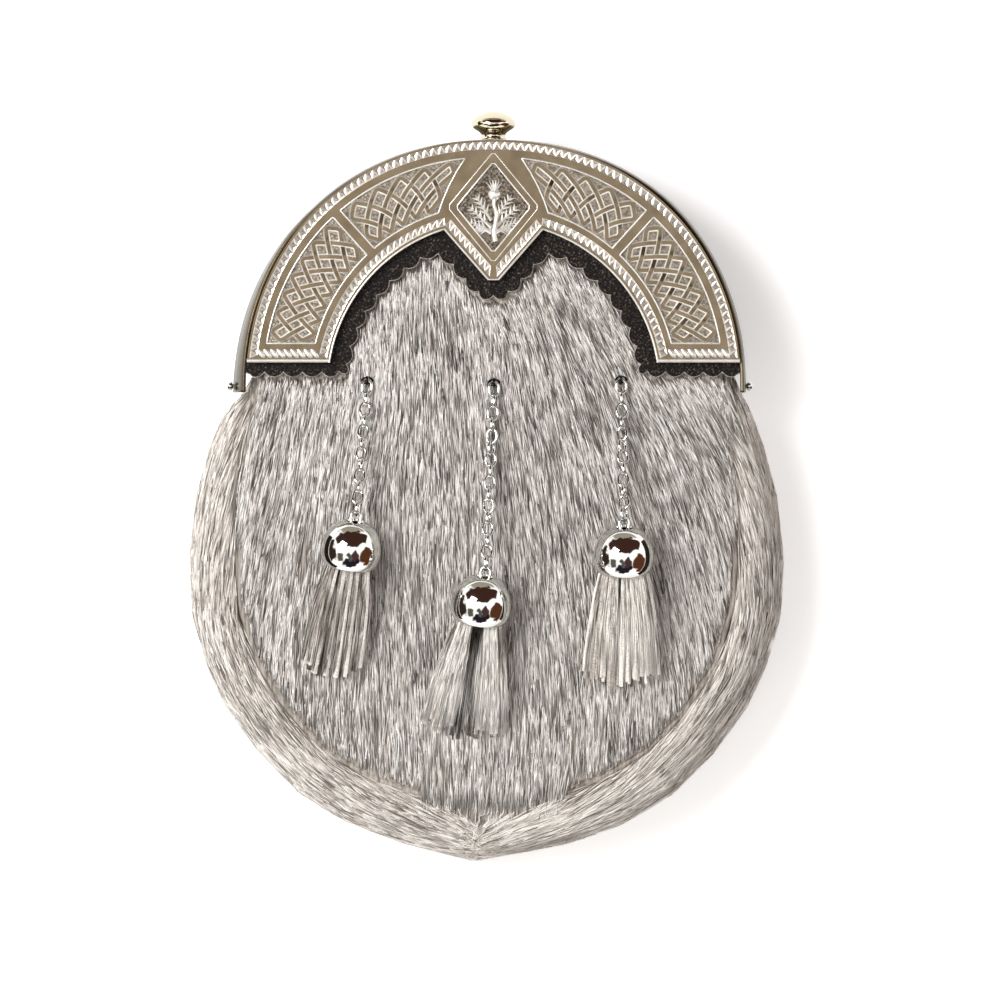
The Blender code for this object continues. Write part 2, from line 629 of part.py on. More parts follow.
def panel_outline(upper, side):
    """Outline of one cast panel: lower ones end at the foot, upper ones along the diamond."""
    outer_width, outer_rise = CANTLE_HALF_WIDTH - BORDER_WIDTH, CANTLE_RISE - BORDER_WIDTH
    inner = INNER_RADIUS + INNER_BORDER_WIDTH
    split = math.radians(PANEL_SPLIT_DEG)
    half_divider_outer = 0.5 * DIVIDER_WIDTH / outer_width
    half_divider_inner = 0.5 * DIVIDER_WIDTH / inner
    if upper:
        outer_ends = (split + half_divider_outer, math.radians(UPPER_OUTER_DEG))
        inner_ends = (split + half_divider_inner, math.radians(UPPER_INNER_DEG))
    else:
        floor = FOOT_Y + FOOT_BORDER - CANTLE_Y
        outer_ends = (arch_angle_at_height(floor, outer_width, outer_rise), split - half_divider_outer)
        inner_ends = (math.asin(floor / inner), split - half_divider_inner)
    points = []
    for step in range(PANEL_STEPS + 1):
        turn = outer_ends[0] + (outer_ends[1] - outer_ends[0]) * step / PANEL_STEPS
        points.append(arch_point(turn, outer_width, outer_rise))
    for step in range(PANEL_STEPS + 1):
        turn = inner_ends[1] + (inner_ends[0] - inner_ends[1]) * step / PANEL_STEPS
        points.append(Vector((CANTLE_X + inner * math.cos(turn), CANTLE_Y + inner * math.sin(turn))))
    if side < 0:
        points = [Vector((2.0 * CANTLE_X - spot[0], spot[1])) for spot in reversed(points)]
    return points


def diamond(inset):
    """Corners of the diamond moved inwards by an inset."""
    grow = inset * math.hypot(DIAMOND_HALF_WIDTH, DIAMOND_HALF_HEIGHT)
    half_width = DIAMOND_HALF_WIDTH - grow / DIAMOND_HALF_HEIGHT
    half_height = DIAMOND_HALF_HEIGHT - grow / DIAMOND_HALF_WIDTH
    return [(CANTLE_X + half_width, DIAMOND_Y), (CANTLE_X, DIAMOND_Y + half_height),
            (CANTLE_X - half_width, DIAMOND_Y), (CANTLE_X, DIAMOND_Y - half_height)]


def strip_outline(centre_line, width):
    """Outline of a flat strip that follows a line of points."""
    left, right = [], []
    for index, spot in enumerate(centre_line):
        ahead = centre_line[min(index + 1, len(centre_line) - 1)]
        behind = centre_line[max(index - 1, 0)]
        along = (ahead - behind).normalized()
        normal = Vector((-along[1], along[0])) * (0.5 * width)
        left.append(spot + normal)
        right.append(spot - normal)
    return left + list(reversed(right))


def interlace_lines(upper, side):
    """Centre lines of the straps that weave along one cast panel."""
    middle = 0.5 * (INNER_RADIUS + INNER_BORDER_WIDTH + CANTLE_HALF_WIDTH - BORDER_WIDTH)
    swing = 0.5 * (CANTLE_HALF_WIDTH - BORDER_WIDTH - INNER_RADIUS - INNER_BORDER_WIDTH) - STRAP_MARGIN
    first, last, waves = UPPER_STRAPS if upper else LOWER_STRAPS
    lines = []
    for phase in (0.0, math.pi):
        line = []
        for step in range(STRAP_STEPS + 1):
            share = step / STRAP_STEPS
            turn = math.radians(first + (last - first) * share)
            radius = middle + swing * math.cos(math.tau * waves * share + phase)
            across, up = radius * math.cos(turn), radius * math.sin(turn)
            line.append(Vector((CANTLE_X + side * across, CANTLE_Y + up)))
        lines.append(line)
    return lines


def thistle_outlines():
    """Flat outlines of the stem with its head and of the two spiky leaves."""
    shapes = [THISTLE_HEAD, THISTLE_LEAF, [(-x, y) for x, y in reversed(THISTLE_LEAF)]]
    return [[(CANTLE_X + x * MM, DIAMOND_Y + y * MM) for x, y in shape] for shape in shapes]


def cantle(finish):
    """Cast plate with five sunk panels, four filled with interlace and one with a thistle."""
    top = CANTLE_Z + CANTLE_WALL
    item = add_object("cantle", plate_mesh(cantle_outline(), CANTLE_Z, top), finish, smooth_deg=25.0)
    cutters = []
    for side in (-1.0, 1.0):
        for upper in (False, True):
            recess = plate_mesh(panel_outline(upper, side), top - RELIEF, top + RELIEF)
            cutters.append(add_object("recess", recess, None, helper=True))
    recess = plate_mesh(diamond(DIAMOND_BAND), top - RELIEF, top + RELIEF)
    cutters.append(add_object("recess", recess, None, helper=True))
    add_modifier_boolean(item, 'DIFFERENCE', group=helper_group("cantle_recesses", cutters))
    raised = []
    base = top - RELIEF - RELIEF_ROOT
    for side in (-1.0, 1.0):
        for upper in (False, True):
            for line, height in zip(interlace_lines(upper, side), STRAP_HEIGHTS):
                strap = plate_mesh(strip_outline(line, STRAP_WIDTH), base, top - RELIEF + height * RELIEF)
                raised.append(add_object("strap", strap, None, helper=True))
    for outline in thistle_outlines():
        flower = plate_mesh(outline, base, top - RELIEF + THISTLE_HEIGHT * RELIEF)
        raised.append(add_object("thistle", flower, None, helper=True))
    add_modifier_boolean(item, 'UNION', group=helper_group("cantle_relief", raised))
    return item


def scalloped_apron(finish):
    """Thin leather under the cantle, its free edge cut in small scallops."""
    outer_x = CANTLE_HALF_WIDTH - APRON_SIDE_INSET
    low_inner = Vector((CANTLE_X + INNER_RADIUS - APRON_REACH - APRON_FOOT_STEP, APRON_LOW_Y))
    right_foot = [Vector((CANTLE_X + outer_x, APRON_LOW_Y)), low_inner]
    left_foot = [Vector((2.0 * CANTLE_X - spot[0], spot[1])) for spot in reversed(right_foot)]
    path = right_foot + inner_edge(APRON_REACH, APRON_STEPS) + left_foot
    lengths = [(b - a).length for a, b in zip(path, path[1:])]
    scallops = round(sum(lengths) / SCALLOP_PITCH)
    total = scallops * SCALLOP_STEPS
    points = []
    for step in range(total + 1):
        travel = sum(lengths) * step / total
        index = 0
        while index < len(lengths) - 1 and travel > lengths[index]:
            travel -= lengths[index]
            index += 1
        spot = path[index].lerp(path[index + 1], min(travel / lengths[index], 1.0))
        along = (path[index + 1] - path[index]).normalized()
        outward = Vector((-along[1], along[0]))
        bulge = abs(math.sin(math.pi * step / SCALLOP_STEPS))
        points.append(spot + outward * (SCALLOP_DEPTH * (bulge - 0.5)))
    half_width, rise = CANTLE_HALF_WIDTH - PANEL_INSET, CANTLE_RISE - PANEL_INSET
    outer = [arch_point(angle, half_width, rise)
             for angle in arch_angles(APRON_TOP_FOOT_Y - CANTLE_Y, half_width, rise, APRON_STEPS)]
    outline = list(reversed(outer)) + [Vector((CANTLE_X + outer_x, APRON_SHOULDER_Y))] + points
    outline.append(Vector((CANTLE_X - outer_x, APRON_SHOULDER_Y)))
    return add_object("scalloped_apron", plate_mesh(outline, APRON_Z, APRON_Z + APRON_WALL), finish)


def top_knob(finish):
    """Turned mushroom finial on the top edge of the cantle."""
    turned = turned_mesh([(radius * MM, height * MM) for radius, height in KNOB_PROFILE], KNOB_SIDES)
    item = add_object("top_knob", turned, finish, smooth_deg=40.0)
    item.location = (CANTLE_X, CANTLE_Y + CANTLE_RISE + GAP, CANTLE_Z - KNOB_DROP)
    item.rotation_euler = (math.radians(-90.0), 0.0, 0.0)
    return item


# ---------------------------------------------------------------- chains, caps and tassels

def add_link(bm, turn, spot, along, up):
    """Add one oval link: its long axis along the chain, its plane turned about that axis."""
    radius = 0.5 * LINK_WIRE
    half_length, half_width = 0.5 * LINK_LENGTH - radius, 0.5 * LINK_WIDTH - radius
    rings = []
    for step in range(LINK_SIDES):
        angle = math.tau * (step + 0.5) / LINK_SIDES
        centre = Vector((half_width * math.cos(angle), half_length * math.sin(angle), 0.0))
        outward = Vector((math.cos(angle) / half_width, math.sin(angle) / half_length, 0.0)).normalized()
        ring = []
        for side in range(WIRE_SIDES):
            lean = math.tau * side / WIRE_SIDES
            offset = outward * (radius * math.cos(lean)) + Vector((0.0, 0.0, radius * math.sin(lean)))
            ring.append(bm.verts.new(centre + offset))
        rings.append(ring)
    for step in range(LINK_SIDES):
        ring, after = rings[step], rings[(step + 1) % LINK_SIDES]
        for side in range(WIRE_SIDES):
            other = (side + 1) % WIRE_SIDES
            bm.faces.new((ring[side], ring[other], after[other], after[side]))
    across = along.cross(up).normalized()
    normal = across.cross(along)
    frame = Matrix((across, along, normal)).transposed().to_4x4()
    place = Matrix.Translation(spot) @ frame @ Matrix.Rotation(turn, 4, 'Y')
    bmesh.ops.transform(bm, matrix=place, verts=[vert for ring in rings for vert in ring])


def cap_frame(cap_x, cap_y, lean_deg):
    """Rim centre of a cap and its axis, which runs from the rim to the hole at its top."""
    tilt, lean = math.radians(CAP_TILT_DEG), math.radians(lean_deg)
    axis = Vector((math.sin(lean) * math.cos(tilt), math.cos(lean) * math.cos(tilt), math.sin(tilt)))
    middle = Vector((cap_x, cap_y, 0.0))
    flat = Vector((axis[0], axis[1], 0.0))
    rim = middle - flat * (0.5 * CAP_HEIGHT)
    rest = max(front_height(rim[0] + shift, rim[1]) for shift in (-CAP_SEAT, 0.0, CAP_SEAT))
    lowest = min(height * CAP_HEIGHT * math.sin(tilt) - share * CAP_RADIUS * math.cos(tilt)
                 for share, height in CAP_PROFILE)
    rim[2] = rest - lowest + 2.0 * GAP
    return rim, axis


def chain_route(eye_x, eye_y, end):
    """Points of the chain's middle line: close to the hide at the eye, rising to the cap's last link."""
    route = []
    for step in range(CHAIN_STEPS + 1):
        share = step / CHAIN_STEPS
        x = eye_x + (end[0] - eye_x) * share
        y = eye_y + (end[1] - eye_y) * share
        low = front_height(x, y) + CHAIN_LIFT
        rise = max(0.0, (share - CHAIN_FLAT_SHARE) / (1.0 - CHAIN_FLAT_SHARE))
        route.append(Vector((x, y, low + (end[2] - low) * (0.5 * rise + 0.5 * rise * rise))))
    return route


def points_along(route, pitch, start):
    """Points and directions spaced evenly along a route, the last half a pitch before its end."""
    total = sum((second - first).length for first, second in zip(route, route[1:]))
    count = round((total - start) / pitch - 0.5)
    even_pitch = (total - start) / (count + 0.5)
    targets = [start + even_pitch * index for index in range(count + 1)]
    spots = []
    travelled = 0.0
    for first, second in zip(route, route[1:]):
        length = (second - first).length
        while targets and travelled + length >= targets[0]:
            share = (targets.pop(0) - travelled) / length
            spots.append((first.lerp(second, share), (second - first).normalized()))
        travelled += length
    return spots


def chain(side, eye_x, eye_y, cap_x, cap_y, lean, finish):
    """Interlocked oval links, every other one on edge, fused where they bear on each other."""
    rim, axis = cap_frame(cap_x, cap_y, lean)
    last = rim + axis * (CAP_HEIGHT + LAST_LINK_OUT)
    route = chain_route(eye_x, eye_y, last + axis * (0.5 * LINK_PITCH))
    spots = points_along(route, LINK_PITCH, FIRST_LINK_IN)
    spots.append((last, -axis))
    flat_links, edge_links = bmesh.new(), bmesh.new()
    for index, (spot, along) in enumerate(spots):
        if index % 2 == 0:
            add_link(flat_links, 0.0, spot, along, Vector((0.0, 0.0, 1.0)))
        else:
            add_link(edge_links, math.radians(90.0), spot, along, Vector((0.0, 0.0, 1.0)))
    item = add_object("chain_" + side, flat_links, finish)
    add_modifier_boolean(item, 'UNION', add_object("edge_links_" + side, edge_links, None, helper=True))
    return item


def chain_staple(side, eye_x, eye_y, finish):
    """Wire staple over the end of the first link, its legs standing on the hide."""
    legs = STAPLE_HALF_SPAN
    base = front_height(eye_x, eye_y) + 2.0 * GAP
    top = front_height(eye_x, eye_y) + CHAIN_LIFT + STAPLE_OVER_CHAIN
    path = bpy.data.curves.new("chain_staple_" + side, 'CURVE')
    path.dimensions = '3D'
    path.bevel_depth = STAPLE_WIRE_RADIUS
    path.bevel_resolution = 2
    path.use_fill_caps = True
    wire = path.splines.new('POLY')
    spots = [(-legs, base), (-legs, top - STAPLE_SHOULDER), (-0.5 * legs, top), (0.5 * legs, top),
             (legs, top - STAPLE_SHOULDER), (legs, base)]
    wire.points.add(len(spots) - 1)
    for point, (shift, z) in zip(wire.points, spots):
        point.co = (eye_x, eye_y + STAPLE_ABOVE_EYE + shift, z, 1.0)
    path.materials.append(finish)
    item = bpy.data.objects.new("chain_staple_" + side, path)
    bpy.context.scene.collection.objects.link(item)
    return item


def place_on_axis(item, origin, axis):
    """Stand an object at an origin with its Z along an axis."""
    turn = Vector((0.0, 0.0, 1.0)).rotation_difference(axis)
    item.matrix_world = Matrix.Translation(origin) @ turn.to_matrix().to_4x4()


def cap(side, cap_x, cap_y, lean, finish):
    """Polished bell with a hole at its top for the chain."""
    outer = [(share * CAP_RADIUS, height * CAP_HEIGHT) for share, height in CAP_PROFILE]
    inner = []
    for radius, height in reversed(outer):
        inner.append((max(radius - CAP_WALL, CAP_HOLE), height * (1.0 - CAP_WALL / CAP_HEIGHT)))
    bell = turned_mesh(outer + inner, CAP_SIDES, closed_profile=True)
    item = add_object("cap_" + side, bell, finish, smooth_deg=40.0)
    rim, axis = cap_frame(cap_x, cap_y, lean)
    place_on_axis(item, rim, axis)
    return item


def lock_mesh(start, bend, end):
    """One flat lock of the fringe along a curve from the head to its tip, fullest past its middle."""
    bm = bmesh.new()
    sections = []
    for step in range(LOCK_STEPS + 1):
        t = step / LOCK_STEPS
        spot = start * (1 - t) ** 2 + bend * (2 * t * (1 - t)) + end * t * t
        along = ((bend - start) * (1 - t) + (end - bend) * t).normalized()
        across = along.cross(Vector((0.0, 0.0, 1.0))).normalized()
        normal = across.cross(along)
        half = 0.5 * LOCK_WIDTH * (0.62 + 0.5 * t - 0.28 * t * t)
        thick = 0.5 * LOCK_THICKNESS * (1.0 - 0.45 * t)
        sections.append([bm.verts.new(spot + across * (x * half) + normal * (z * thick))
                         for x, z in ((-1, -1), (1, -1), (1, 1), (-1, 1))])
    for lower, upper in zip(sections, sections[1:]):
        for corner in range(4):
            after = (corner + 1) % 4
            bm.faces.new((lower[corner], lower[after], upper[after], upper[corner]))
    bm.faces.new(list(reversed(sections[0])))
    bm.faces.new(sections[-1])
    return bm


def tassel(side, cap_x, cap_y, lean, spread, length, locks, finish):
    """Fringe of flat locks fused to a plug that fills the cap."""
    rim, axis = cap_frame(cap_x, cap_y, lean)
    clear = CAP_WALL + GAP
    profile = [(0.0, -PLUG_OUT), (PLUG_RADIUS, -PLUG_OUT)]
    for share, height in CAP_PROFILE[1:5]:
        profile.append((min(share * CAP_RADIUS - clear, PLUG_RADIUS), height * CAP_HEIGHT - PLUG_DOWN))
    profile.append((0.0, profile[-1][1]))
    item = add_object("tassel_" + side, turned_mesh(profile, PLUG_SIDES), finish, smooth_deg=50.0)
    place_on_axis(item, rim, axis)
    across = axis.cross(Vector((0.0, 0.0, 1.0))).normalized()
    over = across.cross(axis)
    strips = []
    down = Vector((-axis[0], -axis[1], 0.0)).normalized()
    for index in range(locks):
        turn = math.tau * (index + 0.5) / locks
        share, layer = math.cos(turn), math.sin(turn)
        start = rim + (across * share + over * layer) * LOCK_RING + axis * LOCK_IN
        tip = rim + down * length * (1.0 - LOCK_OUTER_SHORT * abs(share)) + across * (share * 0.5 * spread)
        tip[2] = front_height(tip[0], tip[1]) + LOCK_LIFT + (1.0 + layer) * LOCK_STACK
        bend = start + down * (0.5 * length) + across * (share * LOCK_BEND_SPREAD * spread)
        bend[2] = tip[2] + (start[2] - tip[2]) * LOCK_BEND_DROP
        strips.append(add_object("lock", lock_mesh(start, bend, tip), None, helper=True))
    bpy.context.view_layer.update()
    add_modifier_boolean(item, 'UNION', group=helper_group("locks_" + side, strips))
    return item


def build():
    """Build every piece of the pouch."""
    clear_scene()
    hide = make_material("grey_hair_on_hide", (0.46, 0.44, 0.41), 0.85, 0.0)
    fringe = make_material("cut_hide_fringe", (0.58, 0.55, 0.50), 0.8, 0.0)
    leather = make_material("black_leather", (0.025, 0.022, 0.021), 0.5, 0.0)
    casting = make_material("antique_nickel_casting", (0.50, 0.47, 0.41), 0.33, 1.0)
    chrome = make_material("chrome_plate", (0.72, 0.72, 0.70), 0.07, 1.0)
    front_panel(hide)
    gusset("gusset_right", hide, mirror=False)
    gusset("gusset_left", hide, mirror=True)
    top_gusset(leather)
    frame_band(chrome)
    frame_stud("frame_stud_left", chrome, -1.0)
    frame_stud("frame_stud_right", chrome, 1.0)
    back_panel(leather)
    back_flap(leather)
    flap_stud(chrome)
    cantle(casting)
    scalloped_apron(leather)
    top_knob(chrome)
    for side, eye_x, eye_y, cap_x, cap_y, lean, spread, length, locks in ORNAMENTS:
        eye_x, eye_y, cap_x, cap_y, spread, length = (value * MM for value in
                                                      (eye_x, eye_y, cap_x, cap_y, spread, length))
        chain(side, eye_x, eye_y, cap_x, cap_y, lean, chrome)
        chain_staple(side, eye_x, eye_y, chrome)
        cap(side, cap_x, cap_y, lean, chrome)
        tassel(side, cap_x, cap_y, lean, spread, length, locks, fringe)


build()
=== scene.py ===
"""Dressed model of a dress sporran pouch that lies on its back, front face up and finial towards +Y.

Each sub-assembly of the pouch is a class that builds its meshes and dresses them. Metres, +Z up.
"""
import logging
from dataclasses import dataclass, field, replace
from enum import Enum
from math import asin, atan2, cos, hypot, pi, radians, sin, sqrt, tau
from typing import Any, Sequence

import bmesh
import bpy
import numpy as np
from bmesh.types import BMEdge, BMesh, BMFace, BMVert
from bpy.types import Material, Mesh, Node, NodeSocket, NodeTree, Object
from mathutils import Matrix, Vector, noise
from mathutils.bvhtree import BVHTree


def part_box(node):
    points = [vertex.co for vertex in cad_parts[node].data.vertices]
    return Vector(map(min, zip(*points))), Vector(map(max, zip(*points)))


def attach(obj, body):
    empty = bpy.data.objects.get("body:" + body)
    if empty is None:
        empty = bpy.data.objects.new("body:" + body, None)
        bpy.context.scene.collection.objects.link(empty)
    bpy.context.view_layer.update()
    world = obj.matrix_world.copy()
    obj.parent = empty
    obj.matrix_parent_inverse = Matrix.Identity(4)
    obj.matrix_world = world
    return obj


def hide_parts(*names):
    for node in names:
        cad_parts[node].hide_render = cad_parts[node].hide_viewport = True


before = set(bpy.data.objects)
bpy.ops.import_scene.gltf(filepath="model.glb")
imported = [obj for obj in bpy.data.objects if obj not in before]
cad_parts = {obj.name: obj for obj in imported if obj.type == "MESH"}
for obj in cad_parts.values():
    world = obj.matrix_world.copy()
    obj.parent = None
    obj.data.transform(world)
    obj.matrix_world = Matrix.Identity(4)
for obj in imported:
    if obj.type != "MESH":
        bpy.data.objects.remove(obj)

MM = 0.001
BODY = "root"
UP = Vector((0.0, 0.0, 1.0))
LOG = logging.getLogger("pouch")


class Slot(Enum):
    """Material slots of the record; no piece here takes its finish from them."""

    HIDE = "hide"
    FRINGE = "fringe"
    LEATHER = "leather"
    CASTING = "casting"
    CHROME = "chrome"


class Side(Enum):
    """Side of the pouch, as seen from the front."""

    LEFT = -1.0
    RIGHT = 1.0


class PanelPart(Enum):
    """Lower or upper cast panel of one side of the cantle."""

    LOWER = "lower"
    UPPER = "upper"


class FringeStyle(Enum):
    """How the strips of a tassel are cut."""

    RIBBONS = "flat ribbons with pale cut edges"
    TUFTS = "full tufts with a dark parting"
    TWISTED = "narrow twisted strips"


# ---- small helpers

def linear(code: str) -> tuple[float, float, float, float]:
    """Turn an sRGB hex colour into linear light.

    Args:
        code: colour such as "#8a7f6e".

    Returns:
        Red, green, blue and an alpha of 1.
    """
    shares = [int(code[index:index + 2], 16) / 255.0 for index in (1, 3, 5)]
    red, green, blue = (c / 12.92 if c <= 0.04045 else ((c + 0.055) / 1.055) ** 2.4 for c in shares)
    return red, green, blue, 1.0


def per(size_mm: float) -> float:
    """Scale of a pattern on Object coordinates whose feature is size_mm wide."""
    return 1.0 / (size_mm * MM)


def add_node(tree: NodeTree, kind: str, settings: dict[str, Any] | None = None,
             inputs: dict[Any, Any] | None = None, stops: Sequence[tuple[float, str]] = ()) -> Node:
    """Add a shader node with its settings and links.

    Args:
        tree: node tree that it goes into.
        kind: Blender's name of the node type, after ShaderNode.
        settings: attributes to set on the node.
        inputs: value of an input, or the output socket to link it from.
        stops: positions and hex colours of a colour ramp.

    Returns:
        The new node.
    """
    node = tree.nodes.new("ShaderNode" + kind)
    for name, value in (settings or {}).items():
        setattr(node, name, value)
    for name, value in (inputs or {}).items():
        if isinstance(value, NodeSocket):
            tree.links.new(value, node.inputs[name])
        else:
            node.inputs[name].default_value = value
    if stops:
        marks = node.color_ramp.elements
        while len(marks) < len(stops):
            marks.new(1.0)
        for mark, (position, code) in zip(marks, stops):
            mark.position = position
            mark.color = linear(code)
    return node


def mesh_from(bm: BMesh, name: str) -> Mesh:
    """Turn a bmesh into a mesh and free it.

    Args:
        bm: bmesh to turn into a mesh.
        name: name of the mesh.

    Returns:
        The mesh.
    """
    mesh = bpy.data.meshes.new(name)
    bm.to_mesh(mesh)
    bm.free()
    return mesh


def add_object(name: str, data: Any) -> Object:
    """Add an object to the scene.

    Args:
        name: name of the object.
        data: its mesh or curve.

    Returns:
        The object.
    """
    item = bpy.data.objects.new(name, data)
    bpy.context.scene.collection.objects.link(item)
    return item


def add_piece(name: str, source: Any, finishes: Sequence[Material],
              stands_for: Sequence[str] = (), smooth_deg: float = 35.0) -> Object:
    """Make a finished piece that rides on the pouch.

    Args:
        name: name of the piece.
        source: bmesh or mesh that holds its shape in place.
        finishes: its materials, in the order of the faces' material indices.
        stands_for: CAD nodes that it replaces.
        smooth_deg: edges sharper than this stay sharp.

    Returns:
        The new object.
    """
    mesh = mesh_from(source, name) if isinstance(source, BMesh) else source
    mesh.name = name
    mesh.shade_smooth()
    if smooth_deg < 180.0:
        mesh.set_sharp_from_angle(angle=radians(smooth_deg))
    for finish in finishes:
        mesh.materials.append(finish)
    piece = add_object(name, mesh)
    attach(piece, BODY)
    if stands_for:
        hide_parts(*stands_for)
    LOG.info("%s: %d faces", name, len(mesh.polygons))
    return piece


def add_bevel(piece: Object, width: float, segments: int = 2, angle_deg: float = 30.0,
              material: int = -1) -> None:
    """Round the sharp edges of a piece with a live Bevel modifier.

    Args:
        piece: the piece.
        width: width of the bevel.
        segments: its steps.
        angle_deg: edges sharper than this are rounded.
        material: index of the bevel's own material, or -1 for the one of the faces beside it.
    """
    bevel = piece.modifiers.new("Bevel", 'BEVEL')
    bevel.width = width
    bevel.segments = segments
    bevel.limit_method = 'ANGLE'
    bevel.angle_limit = radians(angle_deg)
    bevel.material = material


def add_wall(piece: Object, thickness: float) -> None:
    """Give a sheet its wall, behind its faces, with a live Solidify modifier.

    Args:
        piece: the sheet.
        thickness: thickness of the wall.
    """
    solid = piece.modifiers.new("Wall", 'SOLIDIFY')
    solid.thickness = thickness
    solid.offset = -1.0
    solid.use_even_offset = True


def join_in(target: BMesh, extra: BMesh) -> None:
    """Move all of one bmesh into another.

    Args:
        target: bmesh to add to.
        extra: bmesh to add, which is freed.
    """
    mesh = mesh_from(extra, "joined")
    target.from_mesh(mesh)
    bpy.data.meshes.remove(mesh)


def prism(outline: Sequence[Vector], low: float, high: float) -> BMesh:
    """Upright plate between two heights.

    Args:
        outline: its corners seen from above.
        low: height of its underside.
        high: height of its top.

    Returns:
        Closed bmesh.
    """
    bm = bmesh.new()
    face = bm.faces.new([bm.verts.new((spot[0], spot[1], low)) for spot in outline])
    raised = bmesh.ops.extrude_face_region(bm, geom=[face])
    top = [item for item in raised["geom"] if isinstance(item, BMVert)]
    bmesh.ops.translate(bm, verts=top, vec=(0.0, 0.0, high - low))
    bmesh.ops.recalc_face_normals(bm, faces=bm.faces)
    return bm


def turned(profile: Sequence[tuple[float, float]], sides: int, ring: bool = False) -> BMesh:
    """Turn a profile of (radius, height) round Z.

    Args:
        profile: points from one end to the other; a radius of 0 closes an end.
        sides: steps of the full turn.
        ring: whether the profile closes on itself.

    Returns:
        Closed bmesh.
    """
    bm = bmesh.new()
    points = [bm.verts.new((radius, 0.0, height)) for radius, height in profile]
    edges = [bm.edges.new(pair) for pair in zip(points, points[1:])]
    if ring:
        edges.append(bm.edges.new((points[-1], points[0])))
    bmesh.ops.spin(bm, geom=points + edges, cent=(0, 0, 0), axis=(0, 0, 1), angle=tau, steps=sides,
                   use_merge=True)
    bmesh.ops.remove_doubles(bm, verts=bm.verts, dist=0.005 * MM)
    bmesh.ops.recalc_face_normals(bm, faces=bm.faces)
    return bm


def sweep(section: Sequence[tuple[float, float]], frames: Sequence[Matrix], closed: bool) -> BMesh:
    """Extrude a closed section from frame to frame.

    Args:
        section: points across (x) and up (y) of each frame.
        frames: places of the section along its route.
        closed: whether the route closes on itself.

    Returns:
        Closed bmesh.
    """
    bm = bmesh.new()
    ring = [bm.verts.new(frames[0] @ Vector((x, y, 0.0))) for x, y in section]
    first = [bm.edges.new(pair) for pair in zip(ring, ring[1:] + ring[:1])]
    edges = first
    for before, here in zip(frames, frames[1:]):
        grown = bmesh.ops.extrude_edge_only(bm, edges=edges)["geom"]
        moved = {item for item in grown if isinstance(item, BMVert)}
        edges = [item for item in grown
                 if isinstance(item, BMEdge) and set(item.verts) <= moved]
        bmesh.ops.transform(bm, matrix=here @ before.inverted(), verts=list(moved))
    if closed:
        bmesh.ops.bridge_loops(bm, edges=first + edges)
    else:
        bmesh.ops.contextual_create(bm, geom=first)
        bmesh.ops.contextual_create(bm, geom=edges)
    bmesh.ops.recalc_face_normals(bm, faces=bm.faces)
    return bm


def frames_along(route: Sequence[Vector], closed: bool,
                 scales: Sequence[float] | None = None) -> list[Matrix]:
    """Frames whose Z runs along a route and whose Y points up.

    Args:
        route: points of the route.
        closed: whether the route closes on itself.
        scales: size of the section at each point.

    Returns:
        One matrix for each point.
    """
    count = len(route)
    frames = []
    for index, spot in enumerate(route):
        ahead = route[(index + 1) % count] if closed else route[min(index + 1, count - 1)]
        behind = route[index - 1] if closed or index else route[0]
        along = (ahead - behind).normalized()
        across = along.cross(UP).normalized()
        up = across.cross(along)
        turn = Matrix((across, up, along)).transposed().to_4x4()
        size = scales[index] if scales else 1.0
        frames.append(Matrix.Translation(spot) @ turn @ Matrix.Scale(size, 4))
    return frames


def oval(wide: float, high: float, sides: int) -> list[tuple[float, float]]:
    """Corners of a section with two half sizes."""
    turns = [tau * step / sides for step in range(sides)]
    return [(wide * cos(turn), high * sin(turn)) for turn in turns]


def tube(route: Sequence[Vector], radius: float, sides: int, closed: bool = False,
         scales: Sequence[float] | None = None) -> BMesh:
    """Round cord along a route, as thick at each point as its scale says."""
    return sweep(oval(radius, radius, sides), frames_along(route, closed, scales), closed)


def wire_ring(radius: float, wide: float, deep: float, sides: int) -> BMesh:
    """Ring round Z of an oval wire that is given by its half sizes, with a number of steps round the wire."""
    return turned([(radius + across, up) for across, up in oval(wide, deep, sides)], 24, ring=True)


def shaped_grid(rows: Sequence[Sequence[Vector]]) -> BMesh:
    """Open sheet through rows of points, made from a grid whose vertices are moved to them.

    Args:
        rows: rows of equally many points.

    Returns:
        Open bmesh.
    """
    bm = bmesh.new()
    wide, deep = len(rows[0]) - 1, len(rows) - 1
    bmesh.ops.create_grid(bm, x_segments=wide, y_segments=deep, size=1.0)
    for vert in bm.verts:
        column = round((vert.co.x + 1.0) * 0.5 * wide)
        row = round((vert.co.y + 1.0) * 0.5 * deep)
        vert.co = rows[row][column]
    return bm


def smooth_loop(points: Sequence[Vector], passes: int, closed: bool = True) -> list[Vector]:
    """Round the corners of a route by cutting them a quarter of the way, pass by pass.

    Args:
        points: its corners.
        passes: number of times that they are cut.
        closed: whether it closes on itself.

    Returns:
        The rounded route.
    """
    route = list(points)
    for _ in range(passes):
        cut = []
        pairs = zip(route, route[1:] + route[:1]) if closed else zip(route, route[1:])
        for start, end in pairs:
            cut += [start.lerp(end, 0.25), start.lerp(end, 0.75)]
        route = cut if closed else [route[0]] + cut[1:-1] + [route[-1]]
    return route


def smooth_rows(rows: Sequence[Sequence[float]], steps: int) -> list[tuple[float, ...]]:
    """Put smooth rows between the rows of a table (Catmull-Rom).

    Args:
        rows: rows of equally many numbers.
        steps: steps from each row to the next.

    Returns:
        The longer table.
    """
    table = np.array([rows[0], *rows, rows[-1]], dtype=float)
    dense = []
    for a, b, c, d in zip(table, table[1:], table[2:], table[3:]):
        for t in np.arange(steps) / steps:
            dense.append(0.5 * (2 * b + (c - a) * t + (2 * a - 5 * b + 4 * c - d) * t * t
                                + (3 * b - a - 3 * c + d) * t ** 3))
    return [tuple(row.tolist()) for row in dense + [table[-1]]]


